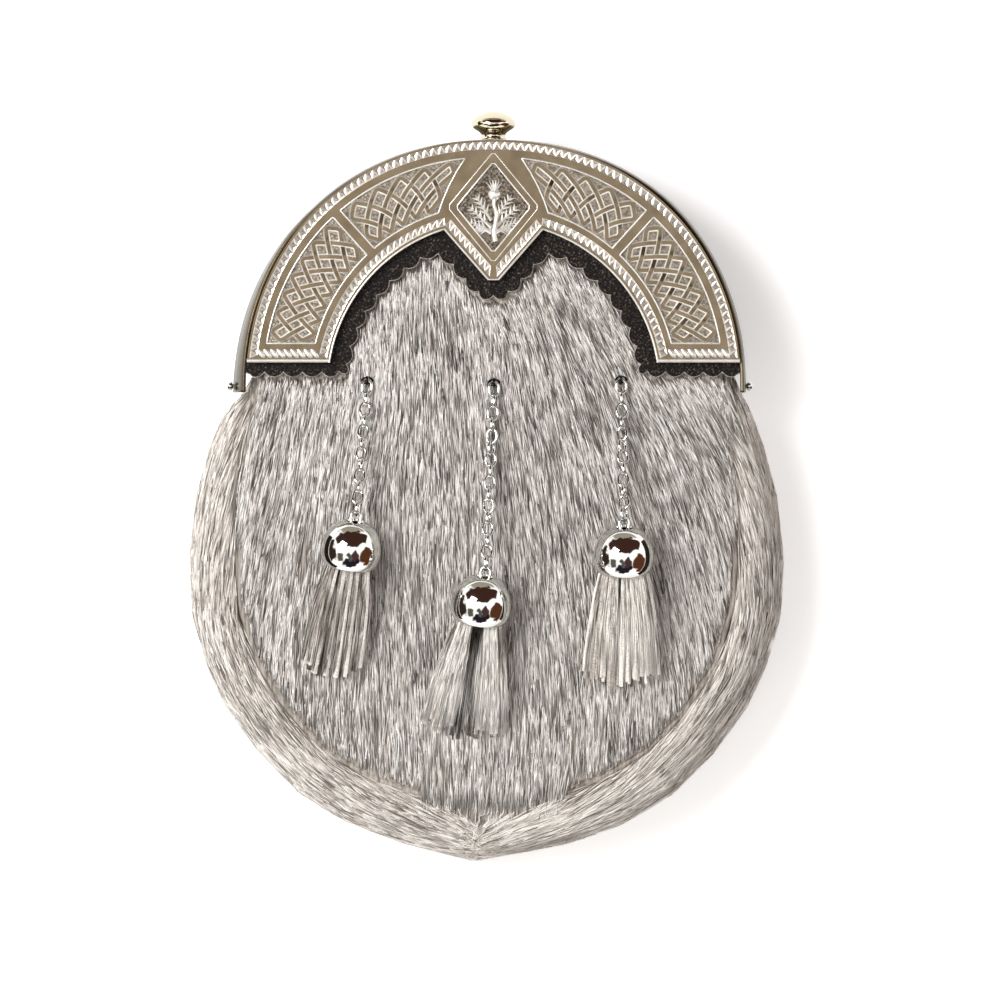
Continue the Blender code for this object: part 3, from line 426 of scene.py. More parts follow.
def along_sides(outline: Sequence[Vector], shares: Sequence[float]) -> list[Vector]:
    """Points at some shares of every side of a closed outline."""
    return [start.lerp(end, share) for start, end in zip(outline, outline[1:] + outline[:1])
            for share in shares]


def at_height(spots: Sequence[Vector], height: float) -> list[Vector]:
    """Points of the plan at a height."""
    return [Vector((*spot, height)) for spot in spots]


class Walk:
    """Line through points, read by the distance walked along it."""

    def __init__(self, points: Sequence[Vector]) -> None:
        """Measure the line.

        Args:
            points: its points.
        """
        self.line = np.array([spot[:] for spot in points])
        steps = np.linalg.norm(np.diff(self.line, axis=0), axis=1)
        self.travel = np.concatenate(([0.0], np.cumsum(steps)))
        self.length = self.travel[-1]

    def at(self, marks: np.ndarray | float) -> np.ndarray:
        """Points at some distances, or the one at a single distance."""
        return np.stack([np.interp(marks, self.travel, column) for column in self.line.T], axis=-1)


def left_of(spots: np.ndarray) -> np.ndarray:
    """Left-hand normals along a line of points in the plan.

    Args:
        spots: one row for each point.

    Returns:
        One unit row for each point.
    """
    along = np.gradient(spots, axis=0)
    along /= np.linalg.norm(along, axis=1)[:, None]
    return np.stack([-along[:, 1], along[:, 0]], axis=1)


def bare_mesh(node: str) -> BMesh:
    """Merged copy of a CAD node's mesh, for a piece that keeps its form.

    Args:
        node: name of the node.

    Returns:
        The merged copy.
    """
    bm = bmesh.new()
    bm.from_mesh(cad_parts[node].data)
    bmesh.ops.remove_doubles(bm, verts=bm.verts, dist=0.005 * MM)
    return bm


def node_tree(*nodes: str) -> BVHTree:
    """Tree of CAD nodes' faces, for rays and nearest points.

    Args:
        nodes: names of the nodes.

    Returns:
        The tree.
    """
    bm = bmesh.new()
    for node in nodes:
        join_in(bm, bare_mesh(node))
    tree = BVHTree.FromBMesh(bm)
    bm.free()
    return tree


# ---- finishes

@dataclass(frozen=True)
class Finish:
    """A surface of the pouch, named for its material and for the light painted into it, where there is any.
    """

    name: str

    def start(self, **shader: Any) -> tuple[Material, NodeTree, Node]:
        """Begin the material.

        Args:
            shader: values of the Principled shader's inputs, with _ for a space.

        Returns:
            The material, its node tree and its shader.
        """
        material = bpy.data.materials.new(self.name)
        material.use_nodes = True
        tree = material.node_tree
        node = tree.nodes["Principled BSDF"]
        for key, value in shader.items():
            node.inputs[key.replace("_", " ")].default_value = value
        return material, tree, node

    def pattern(self, tree: NodeTree, kind: str, size_mm: float, output: str = "Fac",
                settings: dict[str, Any] | None = None, stretch: Sequence[float] | None = None,
                **inputs: float) -> NodeSocket:
        """Pattern on Object coordinates.

        Args:
            tree: node tree that it goes into.
            kind: Blender's name of the texture node, after ShaderNode.
            size_mm: real width of its features.
            output: name of the output to read.
            settings: attributes of the node.
            stretch: scale of each axis, for a pattern that is drawn out.
            inputs: other inputs of the node.

        Returns:
            The output.
        """
        place = add_node(tree, 'TexCoord').outputs["Object"]
        if stretch:
            place = add_node(tree, 'Mapping', inputs={"Vector": place, "Scale": stretch}).outputs["Vector"]
        node = add_node(tree, kind, settings, {"Vector": place, "Scale": per(size_mm), **inputs})
        return node.outputs[output]

    def dress(self, shader: Node, shade: NodeSocket, stops: Sequence[tuple[float, str]], height: NodeSocket,
              strength: float, depth_mm: float, invert: bool = False) -> None:
        """Let patterns set the surface's colour and its relief.

        Args:
            shader: shader of the surface.
            shade: pattern of the colour.
            stops: positions and hex colours that it runs through.
            height: pattern of the relief.
            strength: strength of the relief.
            depth_mm: its real depth.
            invert: whether high values are the low places.
        """
        tree = shader.id_data
        colour = add_node(tree, 'ValToRGB', inputs={"Fac": shade}, stops=stops)
        bump = add_node(tree, 'Bump', {"invert": invert},
                        {"Height": height, "Strength": strength, "Distance": depth_mm * MM})
        tree.links.new(colour.outputs["Color"], shader.inputs["Base Color"])
        tree.links.new(bump.outputs["Normal"], shader.inputs["Normal"])


@dataclass(frozen=True)
class HideHair(Finish):
    """Coarse roan hair of a tanned hide: dark, grey and cream hairs mixed, with painted shade towards each
    root.
    """

    dark: str = "#4b4542"
    grey: str = "#a49d97"
    pale: str = "#dbd5cf"
    cream: str = "#fbf9f6"
    painted_root_shade: str = "#b5aea7"

    def material(self) -> Material:
        """Material that reads each strand's own tone and the place along it.

        Returns:
            The material.
        """
        material, tree, shader = self.start(Roughness=0.5, Specular_IOR_Level=0.35)
        tone = add_node(tree, 'Attribute', {"attribute_name": "tone"})
        along = add_node(tree, 'Attribute', {"attribute_name": "along"})
        colour = add_node(tree, 'ValToRGB', inputs={"Fac": tone.outputs["Fac"]},
                          stops=((0.0, self.dark), (0.32, self.grey), (0.6, self.pale), (1.0, self.cream)))
        # painted shade: each strand is darkened towards its root, where the hairs shade one another
        shade = add_node(tree, 'ValToRGB', inputs={"Fac": along.outputs["Fac"]},
                         stops=((0.0, self.painted_root_shade), (0.55, "#ffffff")))
        mixed = add_node(tree, 'Mix', {"data_type": 'RGBA', "blend_type": 'MULTIPLY'},
                         {0: 1.0, 6: colour.outputs["Color"], 7: shade.outputs["Color"]})
        tree.links.new(mixed.outputs[2], shader.inputs["Base Color"])
        return material


@dataclass(frozen=True)
class HideSkin(Finish):
    """Tanned hide under its hair: dull grey-brown, with streaks along the lie of the hair whose darker parts
    are painted shade between the hairs.
    """

    low: str = "#7d746c"
    high: str = "#c6bdb3"

    def material(self) -> Material:
        """Material with streaks about 0.5 mm wide and 8 mm long.

        Returns:
            The material.
        """
        material, tree, shader = self.start(Roughness=0.8, Specular_IOR_Level=0.2)
        # darker streaks are painted shade between the hairs; lighter ones let the hide pass for hair
        hair_shade_streaks = self.pattern(tree, 'TexNoise', 0.9, stretch=(1.0, 0.07, 1.0), Detail=3.0)
        self.dress(shader, hair_shade_streaks, ((0.35, self.low), (0.65, self.high)), hair_shade_streaks, 0.5, 0.3)
        return material


@dataclass(frozen=True)
class PlatedCasting(Finish):
    """Plated metal whose colour holds painted light: a dull olive-grey painted reflection on the flats, near
    white as a painted highlight, with faint polishing lines.
    """

    colour: str = "#7a6c59"
    shade: str = "#685b49"
    metallic: float = 1.0
    roughness: float = 0.18

    def material(self) -> Material:
        """Material with slight waviness of the casting and fine scratches.

        Returns:
            The material.
        """
        material, tree, shader = self.start(Metallic=self.metallic, Roughness=self.roughness)
        # lighter and darker blotches of the painted reflection, as a buffed flat shows a varied surrounding
        painted_reflection_blotches = self.pattern(tree, 'TexNoise', 6.0, Detail=4.0)
        scratches = self.pattern(tree, 'TexNoise', 0.8, Detail=2.0)
        self.dress(shader, painted_reflection_blotches, ((0.3, self.shade), (0.7, self.colour)), scratches, 0.12, 0.05)
        return material


@dataclass(frozen=True)
class StippledCasting(Finish):
    """Punched ground of the cast panels: small dimples, bright in their middles and darker towards their
    rims.
    """

    low: str = "#6c6357"
    high: str = "#a9a093"
    dimple_mm: float = 0.8

    def material(self) -> Material:
        """Material with dimples drawn a little coarser than real ones, so that they show.

        Returns:
            The material.
        """
        material, tree, shader = self.start(Metallic=0.8, Roughness=0.3)
        dimples = self.pattern(tree, 'TexVoronoi', self.dimple_mm, "Distance")
        self.dress(shader, dimples, ((0.05, self.high), (0.75, self.low)), dimples, 0.6, 0.14)
        return material


@dataclass(frozen=True)
class MilledCasting(Finish):
    """Milled border of bright-cut facets, with dark plating left at the bottom of each cut."""

    bright: str = "#dcd6cc"
    dark: str = "#a89f92"

    def material(self) -> Material:
        """Material that darkens with the depth of the cut.

        Returns:
            The material.
        """
        material, tree, shader = self.start(Metallic=0.7, Roughness=0.32)
        depth = add_node(tree, 'Attribute', {"attribute_name": "depth"})
        colour = add_node(tree, 'ValToRGB', inputs={"Fac": depth.outputs["Fac"]},
                          stops=((0.3, self.bright), (0.85, self.dark)))
        tree.links.new(colour.outputs["Color"], shader.inputs["Base Color"])
        return material


@dataclass(frozen=True)
class ChromePlate(Finish):
    """Bright chrome plate over polished brass: a clean cold mirror with faint handling haze."""

    colour: str = "#dcdcd8"

    def material(self) -> Material:
        """Material with a haze of 4 mm smudges in its roughness.

        Returns:
            The material.
        """
        material, tree, shader = self.start(Metallic=1.0, Base_Color=linear(self.colour))
        haze = self.pattern(tree, 'TexNoise', 4.0, Detail=3.0)
        rough = add_node(tree, 'MapRange', inputs={"Value": haze, "To Min": 0.03, "To Max": 0.09})
        tree.links.new(rough.outputs["Result"], shader.inputs["Roughness"])
        return material


@dataclass(frozen=True)
class GrainedLeather(Finish):
    """Black grained cowhide: pebbled grain, its colour specked with painted shade and painted glints."""

    painted_crease_shade: str = "#030202"
    top: str = "#221b17"
    painted_glint: str = "#62574e"
    grain_mm: float = 0.9

    def material(self) -> Material:
        """Material with pebbles a little over the real 0.6 mm, so that they show.

        Returns:
            The material.
        """
        material, tree, shader = self.start(Roughness=0.5, Specular_IOR_Level=0.14)
        pebbles = self.pattern(tree, 'TexVoronoi', self.grain_mm, "Distance", {"feature": 'SMOOTH_F1'})
        cloud = self.pattern(tree, 'TexNoise', 0.7, Detail=4.0)
        # the darkest stop is painted shade and the lightest a painted glint, laid by noise over the leather's
        # own tone
        stops = ((0.42, self.painted_crease_shade), (0.58, self.top), (0.7, self.painted_glint))
        self.dress(shader, cloud, stops, pebbles, 0.7, 0.12, True)
        return material


@dataclass(frozen=True)
class FibrousEdge(Finish):
    """Cut edge or flesh side of leather: matt, fibrous and lighter or darker than the face."""

    low: str
    high: str

    def material(self) -> Material:
        """Material with fibres about 0.3 mm wide.

        Returns:
            The material.
        """
        material, tree, shader = self.start(Roughness=0.85, Specular_IOR_Level=0.2)
        fibres = self.pattern(tree, 'TexNoise', 0.6, Detail=5.0)
        self.dress(shader, fibres, ((0.35, self.low), (0.65, self.high)), fibres, 0.6, 0.15)
        return material


@dataclass(frozen=True)
class WaxedThread(Finish):
    """Waxed linen thread: dull, with the twist of its plies."""

    colour: str = "#2a2624"

    def material(self) -> Material:
        """Material with plies 0.3 mm apart.

        Returns:
            The material.
        """
        material, tree, shader = self.start(Base_Color=linear(self.colour), Roughness=0.6)
        plies = self.pattern(tree, 'TexWave', 0.9)
        bump = add_node(tree, 'Bump', inputs={"Height": plies, "Strength": 0.5, "Distance": 0.1 * MM})
        tree.links.new(bump.outputs["Normal"], shader.inputs["Normal"])
        return material


def made(finish: Finish) -> Any:
    """Field that holds a finish's material."""
    return field(default_factory=finish.material)


@dataclass
class Palette:
    """All materials of the pouch, made once."""

    front_hair: Material = made(HideHair("roan_hide_hair"))
    gusset_hair: Material = made(HideHair(
        "warm_roan_hide_hair", dark="#5a5149", grey="#aba19a", pale="#dcd4cb", cream="#faf6f1"))
    ribbon_hair: Material = made(HideHair(
        "fringe_hair_mixed", dark="#3f3733", grey="#8c8179", pale="#cbc3bb", cream="#f8f4ef"))
    cream_hair: Material = made(HideHair(
        "fringe_hair_cream", dark="#453d37", grey="#aaa198", pale="#e8e2da", cream="#fffdf9"))
    skin: Material = made(HideSkin("tanned_hide"))
    # nickel whose olive-grey colour is a painted reflection of a dim surrounding on the cantle's flats
    casting: Material = made(PlatedCasting("nickel_plate_painted_reflection"))
    # near-white copy of the same nickel: a painted highlight for edges, beads and relief
    painted_highlight_plate: Material = made(PlatedCasting(
        "nickel_plate_painted_highlight", colour="#fbf9f5", shade="#e6e1d8", metallic=0.65, roughness=0.3))
    # brass whose dark colour is a painted reflection, darkened so that the band reads as dim as a buffed band
    # under a dim surrounding
    band: Material = made(PlatedCasting(
        "brass_band_painted_reflection", colour="#5b5343", shade="#4c4538", roughness=0.25))
    stipple: Material = made(StippledCasting("punched_nickel_ground"))
    dark_stipple: Material = made(StippledCasting("punched_nickel_diamond", "#443b30", "#958a7b"))
    milled: Material = made(MilledCasting("bright_cut_nickel"))
    chrome: Material = made(ChromePlate("chrome_plated_brass"))
    blackened: Material = made(ChromePlate("blackened_steel_wire", "#1a1817"))
    worn_chrome: Material = made(ChromePlate("worn_chrome_over_brass", "#cfc7b0"))
    leather: Material = made(GrainedLeather("grained_black_cowhide"))
    leather_edge: Material = made(FibrousEdge("cut_leather_edge", "#6d655e", "#b5ada4"))
    hide_edge: Material = made(FibrousEdge("cut_hide_edge", "#dad2c8", "#fdfaf5"))
    hide_strip: Material = made(FibrousEdge("hide_strip_flesh", "#a0968c", "#dad3ca"))
    # darker copy of the flesh side: painted shade for strips under the others
    painted_shade_strip: Material = made(FibrousEdge("hide_strip_in_shade", "#453c34", "#766b61"))
    thread: Material = made(WaxedThread("waxed_linen_thread"))


# ---- cantle

@dataclass(frozen=True)
class ArchPlan:
    """Plan of the cantle, which the apron, the band and the top gusset follow."""

    centre: Vector = Vector((2.3 * MM, 32.7 * MM))
    half_width: float = 82.9 * MM
    rise: float = 83.1 * MM
    power: float = 2.1
    foot_y: float = 41.2 * MM
    inner_radius: float = 55.4 * MM
    notch: Vector = Vector((17.4 * MM, 53.9 * MM))      # from the arch's centre
    tip: Vector = Vector((1.8 * MM, 36.0 * MM))         # right end of the blunt point
    diamond_y: float = 93.2 * MM
    diamond_half_width: float = 15.5 * MM
    diamond_half_height: float = 18.9 * MM

    def arch(self, angle: float, inset: float = 0.0) -> Vector:
        """Point of the outer arch moved inwards by an inset; angle 0 is the right foot.

        Args:
            angle: angle round the arch's centre.
            inset: distance from the outer arch.

        Returns:
            The point.
        """
        cosine, sine = cos(angle), sin(angle)
        radius = (abs(cosine / (self.half_width - inset)) ** self.power
                  + abs(sine / (self.rise - inset)) ** self.power) ** (-1.0 / self.power)
        return self.centre + Vector((radius * cosine, radius * sine))

    def outer_edge(self, inset: float, low_y: float, steps: int = 120) -> list[Vector]:
        """Outer arch from the right foot to the left one.

        Args:
            inset: distance inside the cantle's edge.
            low_y: height of its ends.
            steps: straight pieces of the arch.

        Returns:
            Its points.
        """
        height = low_y - self.centre.y
        share = abs(height / (self.rise - inset)) ** self.power
        across = (self.half_width - inset) * (1.0 - share) ** (1.0 / self.power)
        start = atan2(height, across)
        return [self.arch(start + (pi - 2.0 * start) * step / steps, inset) for step in range(steps + 1)]

    def inner_edge(self, inset: float, low_y: float, steps: int = 36) -> list[Vector]:
        """Inner edge with its point in the middle, from the right foot to the left one.

        Args:
            inset: distance into the casting; a negative one runs outside it.
            low_y: height of its ends.
            steps: straight pieces of each quarter arc.

        Returns:
            Its points.
        """
        radius = self.inner_radius + inset
        along = (self.notch - self.tip).normalized()
        start = self.tip + Vector((-along.y, along.x)) * inset
        reach = start.dot(along)
        meet = start + along * (sqrt(radius ** 2 - start.length_squared + reach ** 2) - reach)
        low = start + along * ((self.tip.y + inset - start.y) / along.y)
        if low.x < 0.01 * MM:
            low = start + along * ((0.01 * MM - start.x) / along.x)
        first, last = asin((low_y - self.centre.y) / radius), atan2(meet.y, meet.x)
        right = []
        for step in range(steps + 1):
            turn = first + (last - first) * step / steps
            right.append(Vector((radius * cos(turn), radius * sin(turn))))
        right.append(low)
        left = [Vector((-spot.x, spot.y)) for spot in reversed(right)]
        return [self.centre + spot for spot in right + left]

    def diamond(self, inset: float) -> list[Vector]:
        """Corners of the diamond.

        Args:
            inset: distance that its sides are moved inwards.

        Returns:
            The right, upper, left and lower corner.
        """
        grow = inset * hypot(self.diamond_half_width, self.diamond_half_height)
        half_width = self.diamond_half_width - grow / self.diamond_half_height
        half_height = self.diamond_half_height - grow / self.diamond_half_width
        middle = Vector((self.centre.x, self.diamond_y))
        return [middle + Vector(step) for step in ((half_width, 0.0), (0.0, half_height),
                                                   (-half_width, 0.0), (0.0, -half_height))]


@dataclass(frozen=True)
class KnotPanel:
    """One cast panel and the plaited knot that fills it."""

    plan: ArchPlan
    part: PanelPart
    side: Side
    outer_border: float = 5.8 * MM
    inner_border: float = 6.0 * MM
    foot_border: float = 6.4 * MM
    divider: float = 3.3 * MM
    split_deg: float = 48.0
    upper_outer_deg: float = 83.0
    upper_inner_deg: float = 72.6

    def spot(self, across: float, along: float, margin: float = 0.0) -> Vector:
        """Point of the panel.

        Args:
            across: 0 at its inner arc, 1 at its outer one.
            along: 0 at its lower end, 1 at its upper one.
            margin: distance kept from its edges.

        Returns:
            The point in the plan.
        """
        inner = self.plan.inner_radius + self.inner_border + margin
        split = radians(self.split_deg)
        gap = 0.5 * self.divider + margin
        radius = inner + across * (self.plan.half_width - self.outer_border - margin - inner)
        angle = split
        for _ in range(3):
            if self.part is PanelPart.LOWER:
                floor = self.plan.foot_y + self.foot_border + margin - self.plan.centre.y
                low, high = asin(floor / radius), split - gap / radius
            else:
                end = radians(self.upper_inner_deg + across * (self.upper_outer_deg - self.upper_inner_deg))
                low, high = split + gap / radius, end - margin / radius
            angle = low + (high - low) * along
            outer = (self.plan.arch(angle, self.outer_border + margin) - self.plan.centre).length
            radius = inner + across * (outer - inner)
        return self.plan.centre + Vector((self.side.value * radius * cos(angle), radius * sin(angle)))

    def outline(self, steps: int = 24) -> list[Vector]:
        """Outline of the sunk panel.

        Args:
            steps: steps along each of its arcs.

        Returns:
            Its corners.
        """
        shares = [step / steps for step in range(steps + 1)]
        low = [self.spot(share / 4.0, 0.0) for share in range(5)]
        outer = [self.spot(1.0, share) for share in shares[1:-1]]
        high = [self.spot(1.0 - share / 4.0, 1.0) for share in range(5)]
        inner = [self.spot(0.0, 1.0 - share) for share in shares[1:-1]]
        return low + outer + high + inner

    def knot_routes(self, across: int, along: int, margin: float, lift: float) -> list[list[Vector]]:
        """Closed routes of a plait that bounces between the panel's edges, each over and under in turn.

        Args:
            across: loops side by side.
            along: loops end to end.
            margin: distance from the strap's middle to the panel's edge.
            lift: how far a strap rises or dips where it crosses another.

        Returns:
            Routes whose Z is the height over or under the middle level.
        """
        wide, deep = 2 * across, 2 * along
        seen: set[tuple[int, int]] = set()
        routes = []
        for start in range(1, wide, 2):
            if (start, 0) in seen:
                continue
            x, y, step_x, step_y = start, 0, 1, 1
            route: list[Vector] = []
            while not (route and (x, y) == (start, 0)):
                seen.add((x, y))
                crossing = 0 < x < wide and 0 < y < deep
                over = (x % 2 == 1) == (step_x == step_y)
                height = (lift if over else -lift) if crossing else 0.0
                route.append(self.lift_spot(x / wide, y / deep, margin, height))
                step_x = -step_x if not 0 <= x + step_x <= wide else step_x
                step_y = -step_y if not 0 <= y + step_y <= deep else step_y
                middle = ((x + 0.5 * step_x) / wide, (y + 0.5 * step_y) / deep)
                route.append(self.lift_spot(*middle, margin, 0.0))
                x, y = x + step_x, y + step_y
            routes.append(smooth_loop(route, 3))
        return routes

    def lift_spot(self, across: float, along: float, margin: float, height: float) -> Vector:
        """Point of the panel with a height."""
        spot = self.spot(across, along, margin)
        return Vector((spot.x, spot.y, height))


@dataclass
class Cantle:
    """Cast and plated arch with milled borders, four knot panels and a thistle in a diamond."""

    palette: Palette
    plan: ArchPlan = ArchPlan()
    relief: float = 0.9 * MM
    groove: float = 0.35 * MM
    outer_rim: float = 0.55 * MM
    outer_milling: float = 2.9 * MM
    inner_rim: float = 1.1 * MM
    inner_milling: float = 3.0 * MM
    foot_lip: float = 1.4 * MM
    foot_milling: float = 3.3 * MM
    milling_pitch: float = 2.7 * MM
    diamond_band: float = 2.3 * MM
    strap_width: float = 2.2 * MM
    strap_lift: float = 0.22 * MM
    strap_margin: float = 0.85 * MM     # from a strap's middle to its panel's edge
    panel_bead: float = 0.3 * MM        # the beads' radii
    diamond_bead: float = 0.22 * MM
    edge_bead: float = 0.36 * MM
    foot_bead: float = 0.68 * MM
    cut_depth: float = 0.3 * MM
    cut_gap: float = 0.15 * MM          # between the cuts and the sides of their groove

    def __post_init__(self) -> None:
        """Read the plate's heights from the frame."""
        low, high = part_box("cantle")
        self.low, self.top = low[2], high[2]
        self.ground = self.top - self.relief

    def build(self) -> None:
        """Make every piece of the cantle."""
        self.plate()
        self.beads()
        self.knots()
        self.milling()
        self.foot_ropes()
        self.thistle()

    def panels(self) -> list[KnotPanel]:
        """The four cast panels."""
        return [KnotPanel(self.plan, part, side) for side in Side for part in PanelPart]

    def plate(self) -> None:
        """Plate with sunk panels and grooves for the milled borders."""
        plan, foot = self.plan, self.plan.foot_y
        body = prism(plan.outer_edge(0.0, foot) + plan.inner_edge(0.0, foot)[::-1], self.low, self.top)
        cutters = [(panel.outline(), self.ground) for panel in self.panels()]
        cutters.append((plan.diamond(self.diamond_band), self.ground))
        groove_low, ends = self.top - self.groove, foot + self.foot_lip
        outer = plan.outer_edge(self.outer_rim, ends)
        cutters.append((outer + plan.outer_edge(self.outer_rim + self.outer_milling, ends)[::-1], groove_low))
        inner = plan.inner_edge(self.inner_rim, ends)
        cutters.append((inner + plan.inner_edge(self.inner_rim + self.inner_milling, ends)[::-1], groove_low))
        for side in Side:
            left, right = self.foot_span(side)
            high = ends + self.foot_milling
            cutters.append(([Vector(spot) for spot in ((left, ends), (right, ends), (right, high),
                                                       (left, high))], groove_low))
        mesh = self.cut(body, cutters)
        tip = plan.diamond_y - plan.diamond_half_height
        for face in mesh.polygons:
            spot = face.center
            if face.normal.z > 0.9 and abs(spot.z - self.ground) < 0.05 * MM:
                in_diamond = abs(spot.x - plan.centre.x) < plan.diamond_half_width and spot.y > tip
                face.material_index = 2 if in_diamond else 1
        # the plate's flats take the olive-grey painted reflection
        finishes = [self.palette.casting, self.palette.stipple, self.palette.dark_stipple]
        piece = add_piece("cantle_plate", mesh, finishes, ["cantle"], 20.0)
        add_bevel(piece, 0.2 * MM)

    def foot_span(self, side: Side) -> list[float]:
        """Ends of a foot's rope border, from left to right, between the millings of both edges.

        Args:
            side: side of the foot.

        Returns:
            The left and the right end.
        """
        level, middle = self.plan.foot_y + self.foot_lip, self.plan.centre.x
        reaches = (self.plan.outer_edge(self.outer_rim + self.outer_milling, level)[0].x,
                   self.plan.inner_edge(self.inner_rim + self.inner_milling, level)[0].x)
        return sorted(middle + side.value * (reach - middle) for reach in reaches)

    def cut(self, body: BMesh, cutters: Sequence[tuple[Sequence[Vector], float]]) -> Mesh:
        """Cut sunk areas into the plate.

        Args:
            body: the whole plate.
            cutters: outline and floor of each sunk area.

        Returns:
            Mesh of the plate with every area cut.
        """
        group = bpy.data.collections.new("cutters")
        bpy.context.scene.collection.children.link(group)
        helpers = []
        for outline, floor in cutters:
            mesh = mesh_from(prism(outline, floor, self.top + self.relief), "cutter")
            helpers.append(bpy.data.objects.new("cutter", mesh))
            group.objects.link(helpers[-1])
        plate = add_object("plate", mesh_from(body, "plate"))
        boolean = plate.modifiers.new("Cut", 'BOOLEAN')
        boolean.operand_type = 'COLLECTION'
        boolean.collection = group
        boolean.solver = 'EXACT'
        depsgraph = bpy.context.evaluated_depsgraph_get()
        result = bpy.data.meshes.new_from_object(plate.evaluated_get(depsgraph))
        for helper in helpers + [plate]:
            bpy.data.objects.remove(helper, do_unlink=True)
        bpy.data.collections.remove(group)
        return result

    def beads(self) -> None:
        """Thin bright beads round the panels and the diamond and along the free edges."""
        plan, foot = self.plan, self.plan.foot_y
        beads = bmesh.new()
        rims = [(panel.outline(), self.panel_bead) for panel in self.panels()]
        rims += [(plan.diamond(self.diamond_band), self.panel_bead),
                 (plan.diamond(0.15 * MM), self.diamond_bead)]
        for outline, radius in rims:
            route = at_height(along_sides(outline, (0.04, 0.5, 0.96)), self.top - 0.1 * MM)
            join_in(beads, tube(route, radius, 8, True))
        edge = plan.inner_edge(0.28 * MM, foot, 40)
        join_in(beads, tube(at_height(edge, self.top - 0.16 * MM), self.edge_bead, 8))
        for side in Side:
            ends = [plan.centre.x + side.value * (reach - plan.centre.x) for reach in
                    (plan.outer_edge(0.0, foot)[0].x, plan.inner_edge(0.0, foot)[0].x)]
            route = [Vector((x, foot + 0.62 * MM, self.top - 0.45 * MM)) for x in
                     (ends[0], 0.5 * (ends[0] + ends[1]), ends[1])]
            join_in(beads, tube(route, self.foot_bead, 14))
        # the beads take the near-white nickel as a painted highlight
        add_piece("cantle_beads", beads, [self.palette.painted_highlight_plate], smooth_deg=60.0)

    def strap_section(self) -> list[tuple[float, float]]:
        """Flat-topped section of a knot strap, its middle at the strap's middle level.

        Returns:
            Points of the section.
        """
        half, chamfer, top, foot = 0.5 * self.strap_width, 0.48 * MM, 0.3 * MM, -0.7 * MM
        return [(-half, foot), (half, foot), (half, top - chamfer), (half - chamfer, top),
                (chamfer - half, top), (-half, top - chamfer)]

    def knots(self) -> None:
        """Straps of the plaited knots."""
        counts = {PanelPart.LOWER: (2, 7), PanelPart.UPPER: (2, 5)}
        knots = bmesh.new()
        middle = self.ground + 0.4 * self.relief
        for panel in self.panels():
            across, along = counts[panel.part]
            for route in panel.knot_routes(across, along, self.strap_margin, self.strap_lift):
                raised = [Vector((spot.x, spot.y, middle + spot.z)) for spot in route]
                join_in(knots, sweep(self.strap_section(), frames_along(raised, True), True))
        # painted highlight: the straps' sides and chamfers take the near-white nickel, their flat tops the
        # olive-grey painted reflection
        for face in knots.faces:
            face.material_index = int(abs(face.normal.z) < 0.9)
        finishes = [self.palette.casting, self.palette.painted_highlight_plate]
        add_piece("cantle_knots", knots, finishes, smooth_deg=20.0)

    def milled_strip(self, upper: Sequence[Vector], lower: Sequence[Vector]) -> BMesh:
        """Border of triangular bright cuts between two edges.

        Args:
            upper: points of one edge, a pitch apart.
            lower: points of the other edge, abreast of them.

        Returns:
            Closed bmesh whose cuts hold their depth in the layer "depth".
        """
        bm = bmesh.new()
        depth = bm.verts.layers.float.new("depth")
        floor = self.top - self.groove - self.cut_depth
        near = [bm.verts.new(spot) for spot in at_height(upper, floor)]
        far = [bm.verts.new((*start.lerp(end, 0.5), floor)) for start, end in zip(lower, lower[1:])]
        faces = []
        for index, middle in enumerate(far):
            faces.append(bm.faces.new((near[index], middle, near[index + 1])))
            if index:
                faces.append(bm.faces.new((far[index - 1], middle, near[index])))
        raised = bmesh.ops.extrude_face_region(bm, geom=faces)["geom"]
        top = [item for item in raised if isinstance(item, BMVert)]
        bmesh.ops.translate(bm, verts=top, vec=(0.0, 0.0, self.top - 0.03 * MM - floor))
        bmesh.ops.recalc_face_normals(bm, faces=bm.faces)
        cuts = [item for item in raised if isinstance(item, BMFace)]
        poked = bmesh.ops.poke(bm, faces=cuts, offset=-self.cut_depth, center_mode='MEAN')
        for vert in poked["verts"]:
            vert[depth] = 1.0
        return bm

    def milling(self) -> None:
        """Milled borders along both edges of the arch."""
        ends = self.plan.foot_y + self.foot_lip
        borders = bmesh.new()
        inset = self.outer_rim + self.cut_gap
        width = self.outer_milling - 2.0 * self.cut_gap
        long_edge = self.plan.outer_edge(inset, ends, 400)
        spots, normals = self.even_spots(long_edge, self.milling_pitch)
        join_in(borders, self.milled_strip(spots, [spot + out * width for spot, out in zip(spots, normals)]))
        inset = self.inner_rim + self.cut_gap
        width = self.inner_milling - 2.0 * self.cut_gap
        inner, outer = self.plan.inner_edge(inset, ends, 120), self.plan.inner_edge(inset + width, ends, 120)
        for near, far in zip(self.legs(inner), self.legs(outer)):
            spots, _ = self.even_spots(near, self.milling_pitch * 0.9)
            abreast, _ = self.even_spots(far, self.milling_pitch * 0.9, len(spots))
            join_in(borders, self.milled_strip(spots, abreast))
        add_piece("cantle_milling", borders, [self.palette.milled], smooth_deg=5.0)

    def legs(self, edge: Sequence[Vector]) -> list[list[Vector]]:
        """The inner edge's four legs: an arc and a straight side for each half.

        Args:
            edge: points of the inner edge.

        Returns:
            Points of each leg.
        """
        half = len(edge) // 2
        arc = half - 1
        return [list(edge[:arc]), list(edge[arc - 1:half]), list(edge[half:half + 2]), list(edge[half + 1:])]

